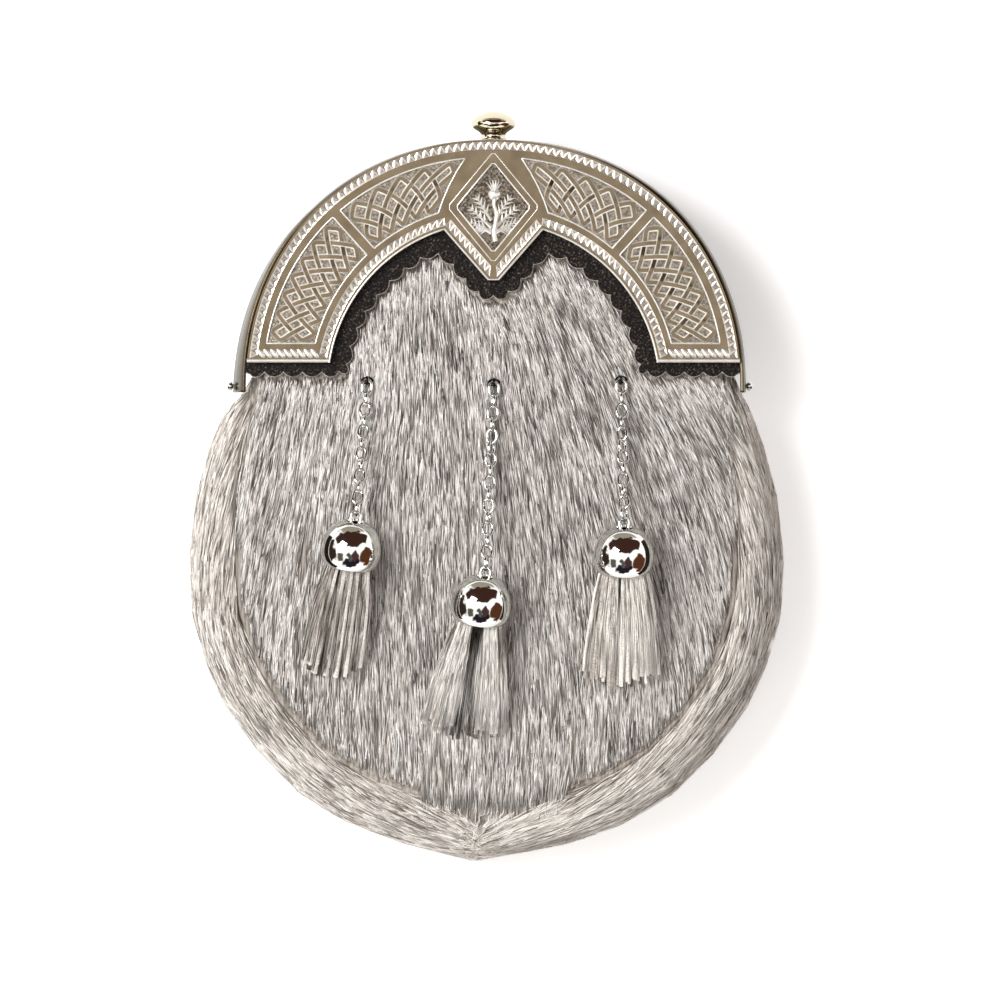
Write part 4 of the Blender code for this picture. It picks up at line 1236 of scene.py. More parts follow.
    def even_spots(self, edge: Sequence[Vector], pitch: float,
                   count: int = 0) -> tuple[list[Vector], list[Vector]]:
        """Points spaced evenly along an edge, with the directions to the left of it.

        Args:
            edge: its points.
            pitch: spacing that is wanted.
            count: number of points, or 0 to take it from the pitch.

        Returns:
            The points and their left-hand normals.
        """
        walk = Walk(edge)
        count = count or max(3, round(walk.length / pitch) + 1)
        spots = walk.at(np.linspace(0.0, walk.length, count))
        return [Vector(spot) for spot in spots.tolist()], [Vector(step) for step in left_of(spots).tolist()]

    def foot_ropes(self) -> None:
        """Rope-like row of slanted beads across each foot."""
        ropes = bmesh.new()
        level = self.plan.foot_y + self.foot_lip + 0.5 * self.foot_milling
        bead_pitch, bead, slant = 2.1 * MM, (0.9 * MM, 2.2 * MM, 0.6 * MM), radians(42.0)
        for side in Side:
            left, right = self.foot_span(side)
            count = int((right - left) / bead_pitch)
            for index in range(count):
                x = left + (index + 0.5) * (right - left) / count
                place = (Matrix.Translation((x, level, self.top - self.groove))
                         @ Matrix.Rotation(slant, 4, 'Z') @ Matrix.Diagonal((*bead, 1.0)))
                bmesh.ops.create_uvsphere(ropes, u_segments=12, v_segments=8, radius=1.0, matrix=place)
        # the ropes take the near-white nickel as a painted highlight
        add_piece("cantle_foot_ropes", ropes, [self.palette.painted_highlight_plate], smooth_deg=60.0)

    def thistle(self) -> None:
        """Thistle in the diamond: bulb, crown, curved stem and spiny leaves, in a thin frame line."""
        flower = bmesh.new()
        middle = Vector((self.plan.centre.x, self.plan.diamond_y, self.ground))
        line = along_sides(self.plan.diamond(3.4 * MM), (0.02, 0.5, 0.98))
        edge = at_height(line, self.ground + 0.05 * MM)
        join_in(flower, sweep([(-0.16 * MM, -0.2 * MM), (0.16 * MM, -0.2 * MM), (0.0, 0.3 * MM)],
                              frames_along(edge, True), True))
        bulb = middle + Vector((0.4, 4.2, 0.2)) * MM
        place = Matrix.Translation(bulb) @ Matrix.Diagonal((2.1 * MM, 2.0 * MM, 1.0 * MM, 1.0))
        bmesh.ops.create_uvsphere(flower, u_segments=20, v_segments=12, radius=1.0, matrix=place)
        for lean in (-42.0, -25.0, -9.0, 7.0, 23.0, 40.0):
            self.spine(flower, bulb + Vector((0.0, 1.0, 0.2)) * MM, lean, 4.0 * MM, 0.75 * MM)
        stem = smooth_rows(((0.5, 2.6, 0.9), (0.2, 0.6, 0.8), (1.1, -2.2, 0.85), (0.7, -5.6, 1.0),
                            (0.2, -8.6, 1.1), (0.7, -11.4, 1.25)), 5)
        route = [middle + Vector((x, y, 0.25)) * MM for x, y, _ in stem]
        join_in(flower, tube(route, 0.85 * MM, 10, scales=[size for _, _, size in stem]))
        for side in Side:
            for root_y, lean, length in ((-8.6, 62.0, 8.8), (-6.8, 47.0, 10.6), (-4.4, 33.0, 10.2),
                                         (-7.8, 80.0, 5.6)):
                root = middle + Vector((0.6 * side.value, root_y, 0.15)) * MM
                self.leaf(flower, root, side.value * lean, length * MM)
        # the thistle takes the near-white nickel as a painted highlight
        add_piece("cantle_thistle", flower, [self.palette.painted_highlight_plate], smooth_deg=50.0)

    def spine(self, bm: BMesh, root: Vector, lean_deg: float, length: float, radius: float) -> None:
        """Add one spine that lies flat.

        Args:
            bm: bmesh to add to.
            root: its thick end.
            lean_deg: lean from +Y towards +X.
            length: its length.
            radius: radius of its thick end.
        """
        lean = radians(lean_deg)
        place = (Matrix.Translation(root + Vector((sin(lean), cos(lean), 0.0)) * (0.5 * length))
                 @ Matrix.Rotation(-lean, 4, 'Z') @ Matrix.Rotation(radians(-90.0), 4, 'X'))
        bmesh.ops.create_cone(bm, cap_ends=True, segments=6, radius1=radius, radius2=0.12 * radius,
                              depth=length, matrix=place)

    def leaf(self, bm: BMesh, root: Vector, lean_deg: float, length: float) -> None:
        """Add a midrib with barbs on both of its sides.

        Args:
            bm: bmesh to add to.
            root: foot of the midrib.
            lean_deg: lean from +Y towards +X.
            length: length of the midrib.
        """
        self.spine(bm, root, lean_deg, length, 0.75 * MM)
        lean = radians(lean_deg)
        along = Vector((sin(lean), cos(lean), 0.0))
        for share in (0.3, 0.48, 0.66, 0.82):
            for turn in (-46.0, 46.0):
                self.spine(bm, root + along * (share * length), lean_deg + turn,
                           (1.0 - 0.55 * share) * 3.6 * MM, 0.55 * MM)


# ---- trim, frame and leather

@dataclass
class Apron:
    """Thin leather under the cantle, its free edge cut in small scallops."""

    palette: Palette
    plan: ArchPlan = ArchPlan()
    reach: float = 6.2 * MM
    low_y: float = 37.0 * MM
    outer_inset: float = -0.2 * MM
    under_inset: float = 5.9 * MM       # of the edge that the cantle covers
    under_y: float = 45.2 * MM
    shoulder_y: float = 43.0 * MM
    foot_in: float = 1.2 * MM           # of each foot's inner corner
    scallop_pitch: float = 6.3 * MM
    scallop_depth: float = 1.6 * MM
    steps: int = 9          # to each scallop
    ease: int = 5           # steps either way that soften the edge's corners

    def build(self) -> None:
        """Make the apron."""
        low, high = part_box("scalloped_apron")
        sheet = prism(self.outline(), low[2], high[2])
        for face in sheet.faces:
            face.material_index = int(abs(face.normal.z) < 0.5)
        finishes = [self.palette.leather, self.palette.leather_edge]
        piece = add_piece("apron_leather", sheet, finishes, ["scalloped_apron"], 40.0)
        add_bevel(piece, 0.3 * MM, material=1)

    def outline(self) -> list[Vector]:
        """Outline from the left shoulder along the scallops to the right one and back over the arch.

        Returns:
            Its points.
        """
        centre = self.plan.centre
        outer_x = self.plan.half_width - self.outer_inset
        low_inner = Vector((self.plan.inner_radius - self.reach - self.foot_in, self.low_y - centre.y))
        corner = Vector((outer_x, self.low_y - centre.y))
        feet = [centre + spot for spot in (corner, low_inner)]
        mirrored = [centre + Vector((-spot.x, spot.y)) for spot in (low_inner, corner)]
        path = feet + self.plan.inner_edge(-self.reach, self.plan.foot_y, 48) + mirrored
        walk = Walk(path)
        total = round(walk.length / self.scallop_pitch) * self.steps
        spots = walk.at(np.linspace(0.0, walk.length, total + 1))
        window = np.ones(2 * self.ease + 1) / (2 * self.ease + 1)
        for _ in range(2):
            padded = np.pad(spots, ((self.ease, self.ease), (0, 0)), mode="edge")
            eased = np.stack([np.convolve(column, window, "valid") for column in padded.T], axis=1)
            spots[1:-1] = eased[1:-1]
        bulge = np.abs(np.sin(pi * np.arange(total + 1) / self.steps)) ** 0.8 - 0.5
        spots += left_of(spots) * (self.scallop_depth * bulge)[:, None]
        edge = [Vector(spot) for spot in spots.tolist()]
        arch = self.plan.outer_edge(self.under_inset, self.under_y, 60)
        right = Vector((centre.x + outer_x, self.shoulder_y))
        left = Vector((centre.x - outer_x, self.shoulder_y))
        return arch[::-1] + [right] + edge + [left]


@dataclass
class FrameBand:
    """Polished metal band that frames the bag's top behind the cantle, with its two strap studs."""

    palette: Palette
    plan: ArchPlan = ArchPlan()
    wall: float = 1.2 * MM
    flare: float = 0.8 * MM
    front_out: float = 0.3 * MM
    rolled_edge: float = 0.35 * MM
    stations: int = 96      # along the arch
    # how far the band's rear edge stands out past the cantle: angle in degrees, millimetres
    stand_out: tuple[tuple[float, float], ...] = ((0.0, 0.9), (45.0, 1.2), (90.0, -0.8), (135.0, 0.4),
                                                  (160.0, 2.4), (180.0, 3.8))

    def build(self) -> None:
        """Make the band and its studs."""
        low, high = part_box("frame_band")
        rows = []
        stations = self.stations
        for step in range(-2, stations + 3):
            degrees = 180.0 * min(max(step, 0), stations) / stations
            out = float(np.interp(degrees, *zip(*self.stand_out))) * MM
            row = []
            for share in (0.0, 0.12, 0.5, 0.88, 1.0):
                roll = self.rolled_edge if share in (0.0, 1.0) else 0.0
                front = min(out - self.flare, self.front_out)
                inset = roll - front - (out - front) * share
                spot = self.plan.arch(radians(degrees), inset)
                if not 0 <= step <= stations:
                    ends = 1.0 if abs(step - stations / 2) > stations / 2 + 1 else 0.5
                    spot = spot.lerp(Vector((spot.x, low[1])), ends)
                row.append(Vector((spot.x, spot.y, high[2] + (low[2] - high[2]) * share)))
            rows.append(row)
        sheet = shaped_grid(rows)
        bmesh.ops.reverse_faces(sheet, faces=sheet.faces)
        # the band's dark colour is a painted reflection
        piece = add_piece("frame_band_buffed", sheet, [self.palette.band], ["frame_band"], 60.0)
        add_wall(piece, self.wall)
        add_bevel(piece, 0.25 * MM, angle_deg=50.0)
        for side in ("left", "right"):
            node = "frame_stud_" + side
            stud = bare_mesh(node)
            bmesh.ops.recalc_face_normals(stud, faces=stud.faces)
            piece = add_piece(node + "_polished", stud, [self.palette.chrome], [node], 60.0)
            add_bevel(piece, 0.12 * MM, angle_deg=40.0)


@dataclass
class Finial:
    """Turned mushroom finial on the cantle's top edge."""

    palette: Palette
    # radius and height from its foot, in millimetres
    profile: tuple[tuple[float, float], ...] = (
        (0.0, 0.0), (4.2, 0.0), (4.4, 0.3), (4.2, 0.8), (4.15, 1.4), (4.5, 2.1), (5.3, 2.75), (6.4, 3.4),
        (7.15, 4.15), (7.45, 5.1), (7.3, 6.0), (6.8, 6.8), (5.9, 7.6), (4.7, 8.3), (3.2, 8.95), (1.6, 9.35),
        (0.0, 9.45))

    def build(self) -> None:
        """Turn the finial and stand it on the cantle's edge."""
        low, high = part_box("top_knob")
        middle = Vector((0.5 * (low[0] + high[0]), low[1], 0.5 * (low[2] + high[2])))
        dense = smooth_rows(self.profile, 3)
        bm = turned([(max(radius, 0.0) * MM, height * MM) for radius, height in dense], 64)
        place = Matrix.Translation(middle) @ Matrix.Rotation(radians(-90.0), 4, 'X')
        bmesh.ops.transform(bm, matrix=place, verts=bm.verts)
        add_piece("finial_polished", bm, [self.palette.worn_chrome], ["top_knob"], 40.0)


@dataclass
class LeatherBack:
    """Leather behind the cantle and on the back: top gusset, back panel, flap and press stud."""

    palette: Palette
    plan: ArchPlan = ArchPlan()
    gusset_inset: float = 3.4 * MM
    gusset_wall: float = 2.0 * MM
    gusset_foot_y: float = 45.8 * MM
    stitch_pitch: float = 3.6 * MM
    stitch_length: float = 2.6 * MM
    thread: float = 0.6 * MM

    def build(self) -> None:
        """Make the leather pieces and their stitches."""
        self.top_gusset()
        for node in ("back_panel", "back_flap"):
            self.carried(node, self.palette.leather, 0.45 * MM)
        self.carried("flap_stud", self.palette.chrome, 0.15 * MM)
        self.stitches("back_panel", 3.2 * MM)
        self.stitches("back_flap", 2.6 * MM)

    def top_gusset(self) -> None:
        """Leather wall behind the cantle with its rim turned in under the back."""
        low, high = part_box("top_gusset")
        corner, flange = 3.4 * MM, 9.0 * MM
        rows = []
        for outer in self.plan.outer_edge(self.gusset_inset, self.gusset_foot_y, 72):
            inward = (self.plan.centre - outer).normalized()
            row = [Vector((outer.x, outer.y, high[2])), Vector((outer.x, outer.y, 0.5 * high[2]))]
            for step in range(6):
                turn = radians(18.0 * step)
                spot = outer + inward * (corner * (1.0 - cos(turn)))
                row.append(Vector((spot.x, spot.y, low[2] + corner * (1.0 - sin(turn)))))
            spot = outer + inward * flange
            row.append(Vector((spot.x, spot.y, low[2])))
            rows.append(row)
        sheet = shaped_grid(rows)
        piece = add_piece("top_gusset_leather", sheet, [self.palette.leather], ["top_gusset"],
                          60.0)
        add_wall(piece, self.gusset_wall)

    def carried(self, node: str, finish: Material, bevel: float) -> None:
        """Give a CAD node's own form rounded edges and its finish.

        Args:
            node: name of the node.
            finish: its material.
            bevel: radius of the edges.
        """
        bm = bare_mesh(node)
        bmesh.ops.dissolve_limit(bm, angle_limit=radians(1.0), verts=bm.verts, edges=bm.edges)
        piece = add_piece(node + "_dressed", bm, [finish], [node], 40.0)
        add_bevel(piece, bevel, 3, 40.0)

    def stitches(self, node: str, inset: float) -> None:
        """Row of stitches round a flat leather piece's rear face.

        Args:
            node: CAD node of the leather.
            inset: distance of the stitches from its outer edge.
        """
        bm = bare_mesh(node)
        low_z = min(vert.co.z for vert in bm.verts)
        rim = [edge for edge in bm.edges if all(abs(vert.co.z - low_z) < 0.02 * MM for vert in edge.verts)
               and any(abs(face.normal.z) < 0.5 for face in edge.link_faces)]
        loop = self.outer_loop(rim)
        bm.free()
        centre = sum(loop, Vector((0.0, 0.0))) / len(loop)
        shrunk = [spot + (centre - spot).normalized() * inset for spot in loop] + [
            loop[0] + (centre - loop[0]).normalized() * inset]
        walk = Walk(shrunk)
        count = round(walk.length / self.stitch_pitch)
        row = bmesh.new()
        for index in range(count):
            mark = (index + 0.5) * walk.length / count
            ends = [Vector(walk.at(mark + shift * self.stitch_length).tolist()) for shift in (-0.5, 0.5)]
            along = ends[1] - ends[0]
            middle = 0.5 * (ends[0] + ends[1])
            place = (Matrix.Translation((middle.x, middle.y, low_z + 0.05 * MM))
                     @ Matrix.Rotation(atan2(along.y, along.x), 4, 'Z')
                     @ Matrix.Diagonal((0.5 * self.stitch_length, 0.5 * self.thread, 0.5 * self.thread, 1.0)))
            bmesh.ops.create_icosphere(row, subdivisions=1, radius=1.0, matrix=place)
        add_piece(node + "_stitches", row, [self.palette.thread], smooth_deg=180.0)

    def outer_loop(self, edges: Sequence[BMEdge]) -> list[Vector]:
        """Longest closed loop among some edges.

        Args:
            edges: edges of one or more loops.

        Returns:
            The loop's points, in order.
        """
        links: dict[int, list[BMVert]] = {}
        for edge in edges:
            first, second = edge.verts
            links.setdefault(first.index, []).append(second)
            links.setdefault(second.index, []).append(first)
        verts = {vert.index: vert for edge in edges for vert in edge.verts}
        longest: list[Vector] = []
        while verts:
            index, vert = next(iter(verts.items()))
            loop = []
            while vert.index in verts:
                del verts[vert.index]
                loop.append(vert.co.to_2d())
                vert = next((near for near in links[vert.index] if near.index in verts), vert)
            if len(loop) > len(longest):
                longest = loop
        return longest


# ---- hair

STRAND_FACES = 6


@dataclass
class Strands:
    """Many strands of hair on one mesh, each a copy of one spindle bent through three points."""

    parts: dict[str, list[np.ndarray]] = field(default_factory=dict)

    def add(self, **parts: np.ndarray) -> None:
        """Add strands: root, mid, tip and up, one row of three for each strand, radius and tone."""
        for key, rows in parts.items():
            self.parts.setdefault(key, []).append(np.asarray(rows, dtype=float))

    def mesh(self) -> Mesh:
        """Mesh of all the strands, with the attributes "tone" and "along".

        Returns:
            The mesh.
        """
        root, mid, tip, up, radius, tone = (np.concatenate(self.parts[key]) for key in
                                            ("root", "mid", "tip", "up", "radius", "tone"))
        template = turned([(0.0, 0.0), (1.0, 0.5), (0.0, 1.0)], 3)
        corners = np.array([vert.co[:] for vert in template.verts])
        faces = np.array([[vert.index for vert in face.verts] for face in template.faces])
        template.free()
        count, share = len(root), corners[:, 2]
        weights = np.stack([np.clip(1.0 - 2.0 * share, 0.0, 1.0), 1.0 - np.abs(2.0 * share - 1.0),
                            np.clip(2.0 * share - 1.0, 0.0, 1.0)], axis=1)
        spots = np.einsum("vk,nkc->nvc", weights, np.stack([root, mid, tip], axis=1))
        along = tip - root
        along /= np.linalg.norm(along, axis=1)[:, None] + 1e-12
        side = np.cross(up, along)
        side /= np.linalg.norm(side, axis=1)[:, None] + 1e-12
        lift = np.cross(along, side)
        spots += radius[:, None, None] * (corners[None, :, 0, None] * side[:, None, :]
                                          + corners[None, :, 1, None] * lift[:, None, :])
        mesh = bpy.data.meshes.new("strands")
        mesh.vertices.add(count * len(corners))
        mesh.vertices.foreach_set("co", spots.ravel())
        indices = faces[None] + (np.arange(count) * len(corners))[:, None, None]
        mesh.loops.add(indices.size)
        mesh.loops.foreach_set("vertex_index", indices.ravel())
        mesh.polygons.add(count * len(faces))
        mesh.polygons.foreach_set("loop_start", np.arange(count * len(faces)) * 3)
        mesh.update(calc_edges=True)
        for name, values in (("tone", np.repeat(tone, len(corners))), ("along", np.tile(share, count))):
            layer = mesh.attributes.new(name, 'FLOAT', 'POINT')
            layer.data.foreach_set("value", values)
        return mesh


class Shell:
    """Outer side of some CAD nodes' skins, to scatter hair on."""

    def __init__(self, nodes: Sequence[str], rng: np.random.Generator, extra: BMesh | None = None) -> None:
        """Keep the faces that nothing of the same skin stands over.

        Args:
            nodes: CAD nodes of the skin.
            rng: source of random numbers.
            extra: more skin, which is used up.
        """
        self.rng = rng
        skin = extra or bmesh.new()
        for node in nodes:
            join_in(skin, bare_mesh(node))
        for _ in range(2):      # faces fine enough to leave out just the hidden ones
            broad = [edge for edge in skin.edges if edge.calc_length() > 4.0 * MM]
            bmesh.ops.subdivide_edges(skin, edges=broad, cuts=1, use_grid_fill=True)
        bmesh.ops.triangulate(skin, faces=skin.faces)
        tree = BVHTree.FromBMesh(skin)
        hidden = []
        for face in skin.faces:
            start = face.calc_center_median() + face.normal * (0.4 * MM)
            if tree.ray_cast(start, face.normal, 0.2)[0] is not None:
                hidden.append(face)
        bmesh.ops.delete(skin, geom=hidden, context='FACES')
        skin.faces.ensure_lookup_table()
        self.tree = BVHTree.FromBMesh(skin)
        self.corners = np.array([[vert.co[:] for vert in face.verts] for face in skin.faces])
        self.normals = np.array([face.normal[:] for face in skin.faces])
        self.areas = np.array([face.calc_area() for face in skin.faces])
        skin.free()

    def scatter(self, count: int, steepest: float = -0.6) -> np.ndarray:
        """Points spread evenly over the faces.

        Args:
            count: number of points.
            steepest: faces whose normal's Z is lower than this get none.

        Returns:
            One row for each point.
        """
        weights = self.areas * (self.normals[:, 2] > steepest)
        faces = self.rng.choice(len(weights), size=count, p=weights / weights.sum())
        first, second = self.rng.random(count), self.rng.random(count)
        flip = first + second > 1.0
        first[flip], second[flip] = 1.0 - first[flip], 1.0 - second[flip]
        corners = self.corners[faces]
        return (corners[:, 0] + first[:, None] * (corners[:, 1] - corners[:, 0])
                + second[:, None] * (corners[:, 2] - corners[:, 0]))

    def drop_on(self, spots: np.ndarray) -> tuple[np.ndarray, np.ndarray]:
        """Move points to the shell.

        Args:
            spots: one row for each point.

        Returns:
            The nearest points of the shell and its outward directions there.
        """
        places, normals = np.empty_like(spots), np.empty_like(spots)
        for index, spot in enumerate(spots):
            place, normal, _, _ = self.tree.find_nearest(Vector(spot))
            places[index], normals[index] = place, normal
        return places, normals


@dataclass(frozen=True)
class Pelt:
    """How the hair of one area lies."""

    name: str
    nodes: tuple[str, ...]
    strands: int
    length: float
    tone: float
    contrast: float
    marks: tuple[tuple[float, float, float], ...]       # as FRONT_MARKS
    finish: Material
    near: float = 1.0           # largest distance from the apron and the cantle
    trimmed: bool = False       # whether tips that hang past the lower edge are drawn back


# Lie of the hair: x and y in millimetres, and degrees from -Y towards +X
FRONT_MARKS = (
    (-75, 30, -15), (-60, 25, -10), (-40, 60, 2), (-25, 75, 0), (-40, 20, -8), (-10, 50, 4), (5, 45, 5),
    (10, 65, 20), (25, 72, 25), (40, 55, 28), (30, 30, 18), (55, 30, 28), (70, 25, 30), (0, 0, 3),
    (20, 0, 8), (40, 0, 14), (60, 0, 18), (-20, 0, 2), (-50, 0, -6), (-72, 0, -14), (-75, -30, -10),
    (-60, -40, -4), (-30, -40, 2), (0, -50, 0), (30, -40, 5), (55, -40, 10), (75, -35, 12), (-40, -85, 2),
    (0, -95, -2), (20, -90, -4), (45, -75, 0))
GUSSET_MARKS = (
    (-88, 15, -25), (-95, -5, -15), (-97, -25, -5), (-90, -55, 25), (-80, -75, 40), (-60, -98, 55),
    (-40, -110, 68), (-20, -117, 78), (-6, -121, 80), (84, 25, 35), (92, 5, 22), (95, -20, 8),
    (93, -45, -15), (84, -65, -35), (70, -85, -48), (50, -103, -58), (30, -112, -66), (10, -119, -75),
    (0, -121, -80))


@dataclass
class HideBag:
    """Hair-on hide of the bag: a crowned front and two half gussets that meet at the bottom point."""

    palette: Palette
    seed: int = 11
    clump: int = 6
    clump_width: float = 0.55 * MM
    clump_reach: float = 6.0 * MM
    angle_spread_deg: float = 3.0
    radius: float = 0.25 * MM
    floor_gap: float = 0.5 * MM
    welt_radius: float = 1.45 * MM
    welt_out: float = 1.15 * MM
    welt_z: float = 33.3 * MM
    cover_y: float = 34.0 * MM          # nothing below this lies under the apron or the cantle
    overhang_y: float = -25.0 * MM      # below this the front hair stops at the seam
    notch_x: float = 2.0 * MM           # but hangs over the notch between the gussets
    notch_half: float = 24.0 * MM
    mark_ease: float = 4.0 * MM         # how softly one charted mark gives way to the next
    split_y: float = -10.0 * MM         # where a pelt of many strands is split in two pieces
    whole_faces: int = 180000           # most faces of a pelt that stays one piece
    tone_spread: float = 0.28
    patch_size: float = 22.0 * MM       # of the lighter and darker areas
    patch_tone: float = 0.1
    gather: float = 0.25                # how far tips draw in to the line of their clump
    middle_height_mm: tuple[float, float] = (0.15, 0.65)
    root_depth: float = 0.25 * MM

    def build(self) -> None:
        """Make the skins and the hair."""
        rng = np.random.default_rng(self.seed)
        for node in ("front_panel", "gusset_left", "gusset_right"):
            skin = bare_mesh(node)
            add_piece(node + "_skin", skin, [self.palette.skin], [node], 50.0)
        self.cover = node_tree("scalloped_apron", "cantle")
        self.panel = node_tree("front_panel")
        self.bag = Shell(("front_panel", "gusset_left", "gusset_right"), rng, self.welt())
        add_piece("seam_welt", self.welt(), [self.palette.skin], smooth_deg=60.0)
        front, gusset = (FRONT_MARKS, self.palette.front_hair), (GUSSET_MARKS, self.palette.gusset_hair)
        for pelt in (
                Pelt("front_hair", ("front_panel",), 40000, 16.0 * MM, 0.62, 0.08, *front, trimmed=True),
                Pelt("apron_side_hair", ("front_panel",), 60000, 8.5 * MM, 0.66, 0.08, *front, 7.0 * MM),
                Pelt("gusset_left_hair", ("gusset_left",), 22000, 19.0 * MM, 0.66, 0.09, *gusset),
                Pelt("gusset_right_hair", ("gusset_right",), 22000, 19.0 * MM, 0.68, 0.09, *gusset)):
            self.grow(pelt, rng)

    def welt(self) -> BMesh:
        """Soft cord that fills the seam between the front and the gussets.

        Returns:
            Closed bmesh of the cord.
        """
        middle = Vector((0.0, -10.0 * MM, self.welt_z))
        route = []
        for degrees in range(28, -209, -2):     # from the right shoulder down and up to the left one
            out = Vector((cos(radians(degrees)), sin(radians(degrees)), 0.0))
            edge = self.panel.ray_cast(middle + out * 0.2, -out, 0.2)[0]
            if edge:
                route.append(edge + out * self.welt_out)
        return tube(route, self.welt_radius, 8)

    def trim(self, mid: np.ndarray, tip: np.ndarray) -> np.ndarray:
        """Draw tips back that hang past the front's lower edge.

        Args:
            mid: middles of the strands.
            tip: their tips, which are moved.

        Returns:
            Whether each strand lies on the front.
        """
        kept = np.ones(len(tip), dtype=bool)
        for index, spot in enumerate(tip):
            if spot[1] > self.overhang_y or abs(spot[0] - self.notch_x) < self.notch_half:
                continue
            for share in (1.0, 0.7, 0.4, 0.15, 0.0):
                place = mid[index] + share * (spot - mid[index])
                if self.panel.ray_cast(Vector((place[0], place[1], 0.1)), -UP, 0.1)[0]:
                    break
            else:
                kept[index] = False
            tip[index] = place
        return kept

    def lie(self, pelt: Pelt, spots: np.ndarray) -> np.ndarray:
        """Angle of the hair at some points, from the charted marks near them.

        Args:
            pelt: area of hair.
            spots: one row for each point.

        Returns:
            One angle for each point.
        """
        marks = np.array(pelt.marks) * (MM, MM, pi / 180.0)
        gaps = np.linalg.norm(spots[:, None, :2] - marks[None, :, :2], axis=2) + self.mark_ease
        weights = gaps ** -3.0
        return (weights * marks[:, 2]).sum(axis=1) / weights.sum(axis=1)

    def covered(self, spots: np.ndarray) -> np.ndarray:
        """Find the points that the apron or the cantle lies over.

        Args:
            spots: one row for each point.

        Returns:
            Whether each one is covered.
        """
        flags = np.zeros(len(spots), dtype=bool)
        for index, spot in enumerate(spots):
            if spot[1] > self.cover_y:
                below = Vector((spot[0], spot[1], 0.0))
                flags[index] = self.cover.ray_cast(below, UP, 0.1)[0] is not None
        return flags

    def grow(self, pelt: Pelt, rng: np.random.Generator) -> None:
        """Grow the hair of one area in flat clumps that follow its lie.

        Args:
            pelt: the area and its hair.
            rng: source of random numbers.
        """
        shell = Shell(pelt.nodes, rng)
        seeds = shell.scatter(pelt.strands // self.clump)
        if pelt.near < 1.0:
            seeds = seeds[[self.cover.find_nearest(Vector(seed))[3] < pelt.near for seed in seeds]]
        clumps = len(seeds)
        spread = radians(self.angle_spread_deg)
        angles = self.lie(pelt, seeds) + rng.normal(0.0, spread, clumps)
        patches = np.array([noise.noise(Vector(seed) / self.patch_size) for seed in seeds])
        tones = rng.normal(pelt.tone, pelt.contrast, clumps) + self.patch_tone * patches
        member = np.repeat(np.arange(clumps), self.clump)
        total = len(member)
        angle = angles[member] + rng.normal(0.0, 0.4 * spread, total)
        flow = np.stack([np.sin(angle), -np.cos(angle), np.zeros(total)], axis=1)
        sideways = np.stack([np.cos(angle), np.sin(angle), np.zeros(total)], axis=1)
        start = (seeds[member] + flow * rng.uniform(-self.clump_reach, self.clump_reach, total)[:, None]
                 + sideways * rng.normal(0.0, self.clump_width, total)[:, None])
        root, up = shell.drop_on(start)
        along = flow - up * (flow * up).sum(axis=1)[:, None]
        along /= np.linalg.norm(along, axis=1)[:, None] + 1e-9
        length = pelt.length * rng.uniform(0.75, 1.25, total)
        inward = seeds[member] - start
        inward -= flow * (inward * flow).sum(axis=1)[:, None]
        mid, mid_up = self.bag.drop_on(root + along * (0.5 * length)[:, None])
        tip, tip_up = self.bag.drop_on(root + along * length[:, None] + self.gather * inward)
        height = rng.uniform(*self.middle_height_mm, clumps)[member] * MM
        mid += mid_up * (height + 0.1 * MM)[:, None]
        tip += tip_up * (height + rng.uniform(-0.1, 0.25, total) * MM)[:, None]
        root -= up * self.root_depth
        under = self.covered(root)
        for share in (0.3, 0.6):
            part = root + share * (mid - root)
            free = under & ~self.covered(part)
            root[free] = part[free]
            under &= ~free
        hidden = self.covered(tip)
        tip[hidden] = 0.5 * (mid + tip)[hidden]
        keep = ~(under | self.covered(mid) | self.covered(tip))
        if pelt.trimmed:
            keep &= self.trim(mid, tip)
        keep &= np.linalg.norm(tip - root, axis=1) > 0.2 * length
        for spots in (root, mid, tip):
            spots[:, 2] = np.maximum(spots[:, 2], self.floor_gap)
        tone = np.clip(tones[member] + rng.normal(0.0, self.tone_spread, total), 0.0, 1.0)
        radius = self.radius * rng.uniform(0.75, 1.2, total)
        upper = root[:, 1] >= self.split_y
        halves = {"_upper": upper, "_lower": ~upper}
        if total * STRAND_FACES < self.whole_faces:
            halves = {"": np.ones(total, dtype=bool)}
        for ending, half in halves.items():
            chosen = keep & half
            hair = Strands()
            hair.add(root=root[chosen], mid=mid[chosen], tip=tip[chosen], up=up[chosen],
                     radius=radius[chosen], tone=tone[chosen])
            add_piece(pelt.name + ending, hair.mesh(), [pelt.finish], smooth_deg=180.0)


# ---- chains, caps and tassels

@dataclass(frozen=True)
class Strip:
    """One strip of a fringe: place across, -1 to 1, and layer, width, share of the length, brightness, which
    holds painted shade in lower layers.
    """

    share: float
    layer: float
    width: float
    reach: float
    tone: float


@dataclass(frozen=True)
class FringeCut:
    """How the strips of a fringe are cut, turned and haired."""

    count: int
    layers: tuple[float, ...]
    width_mm: tuple[float, float]
    thickness: float
    turn_deg: tuple[float, float]
    twist_deg: float
    hairs: int
    tone: float
    tone_spread: float
    raggedness: float
    loose: int
    loose_tone: float
    pale_share: float       # share of the strips that are pale all through
    parting: float = 0.0    # half width of the parting, whose lowest strips get near-black hair as painted shade, in shares of the fringe's half width
    parting_at: float = -0.04
    loose_parting: float = 0.0


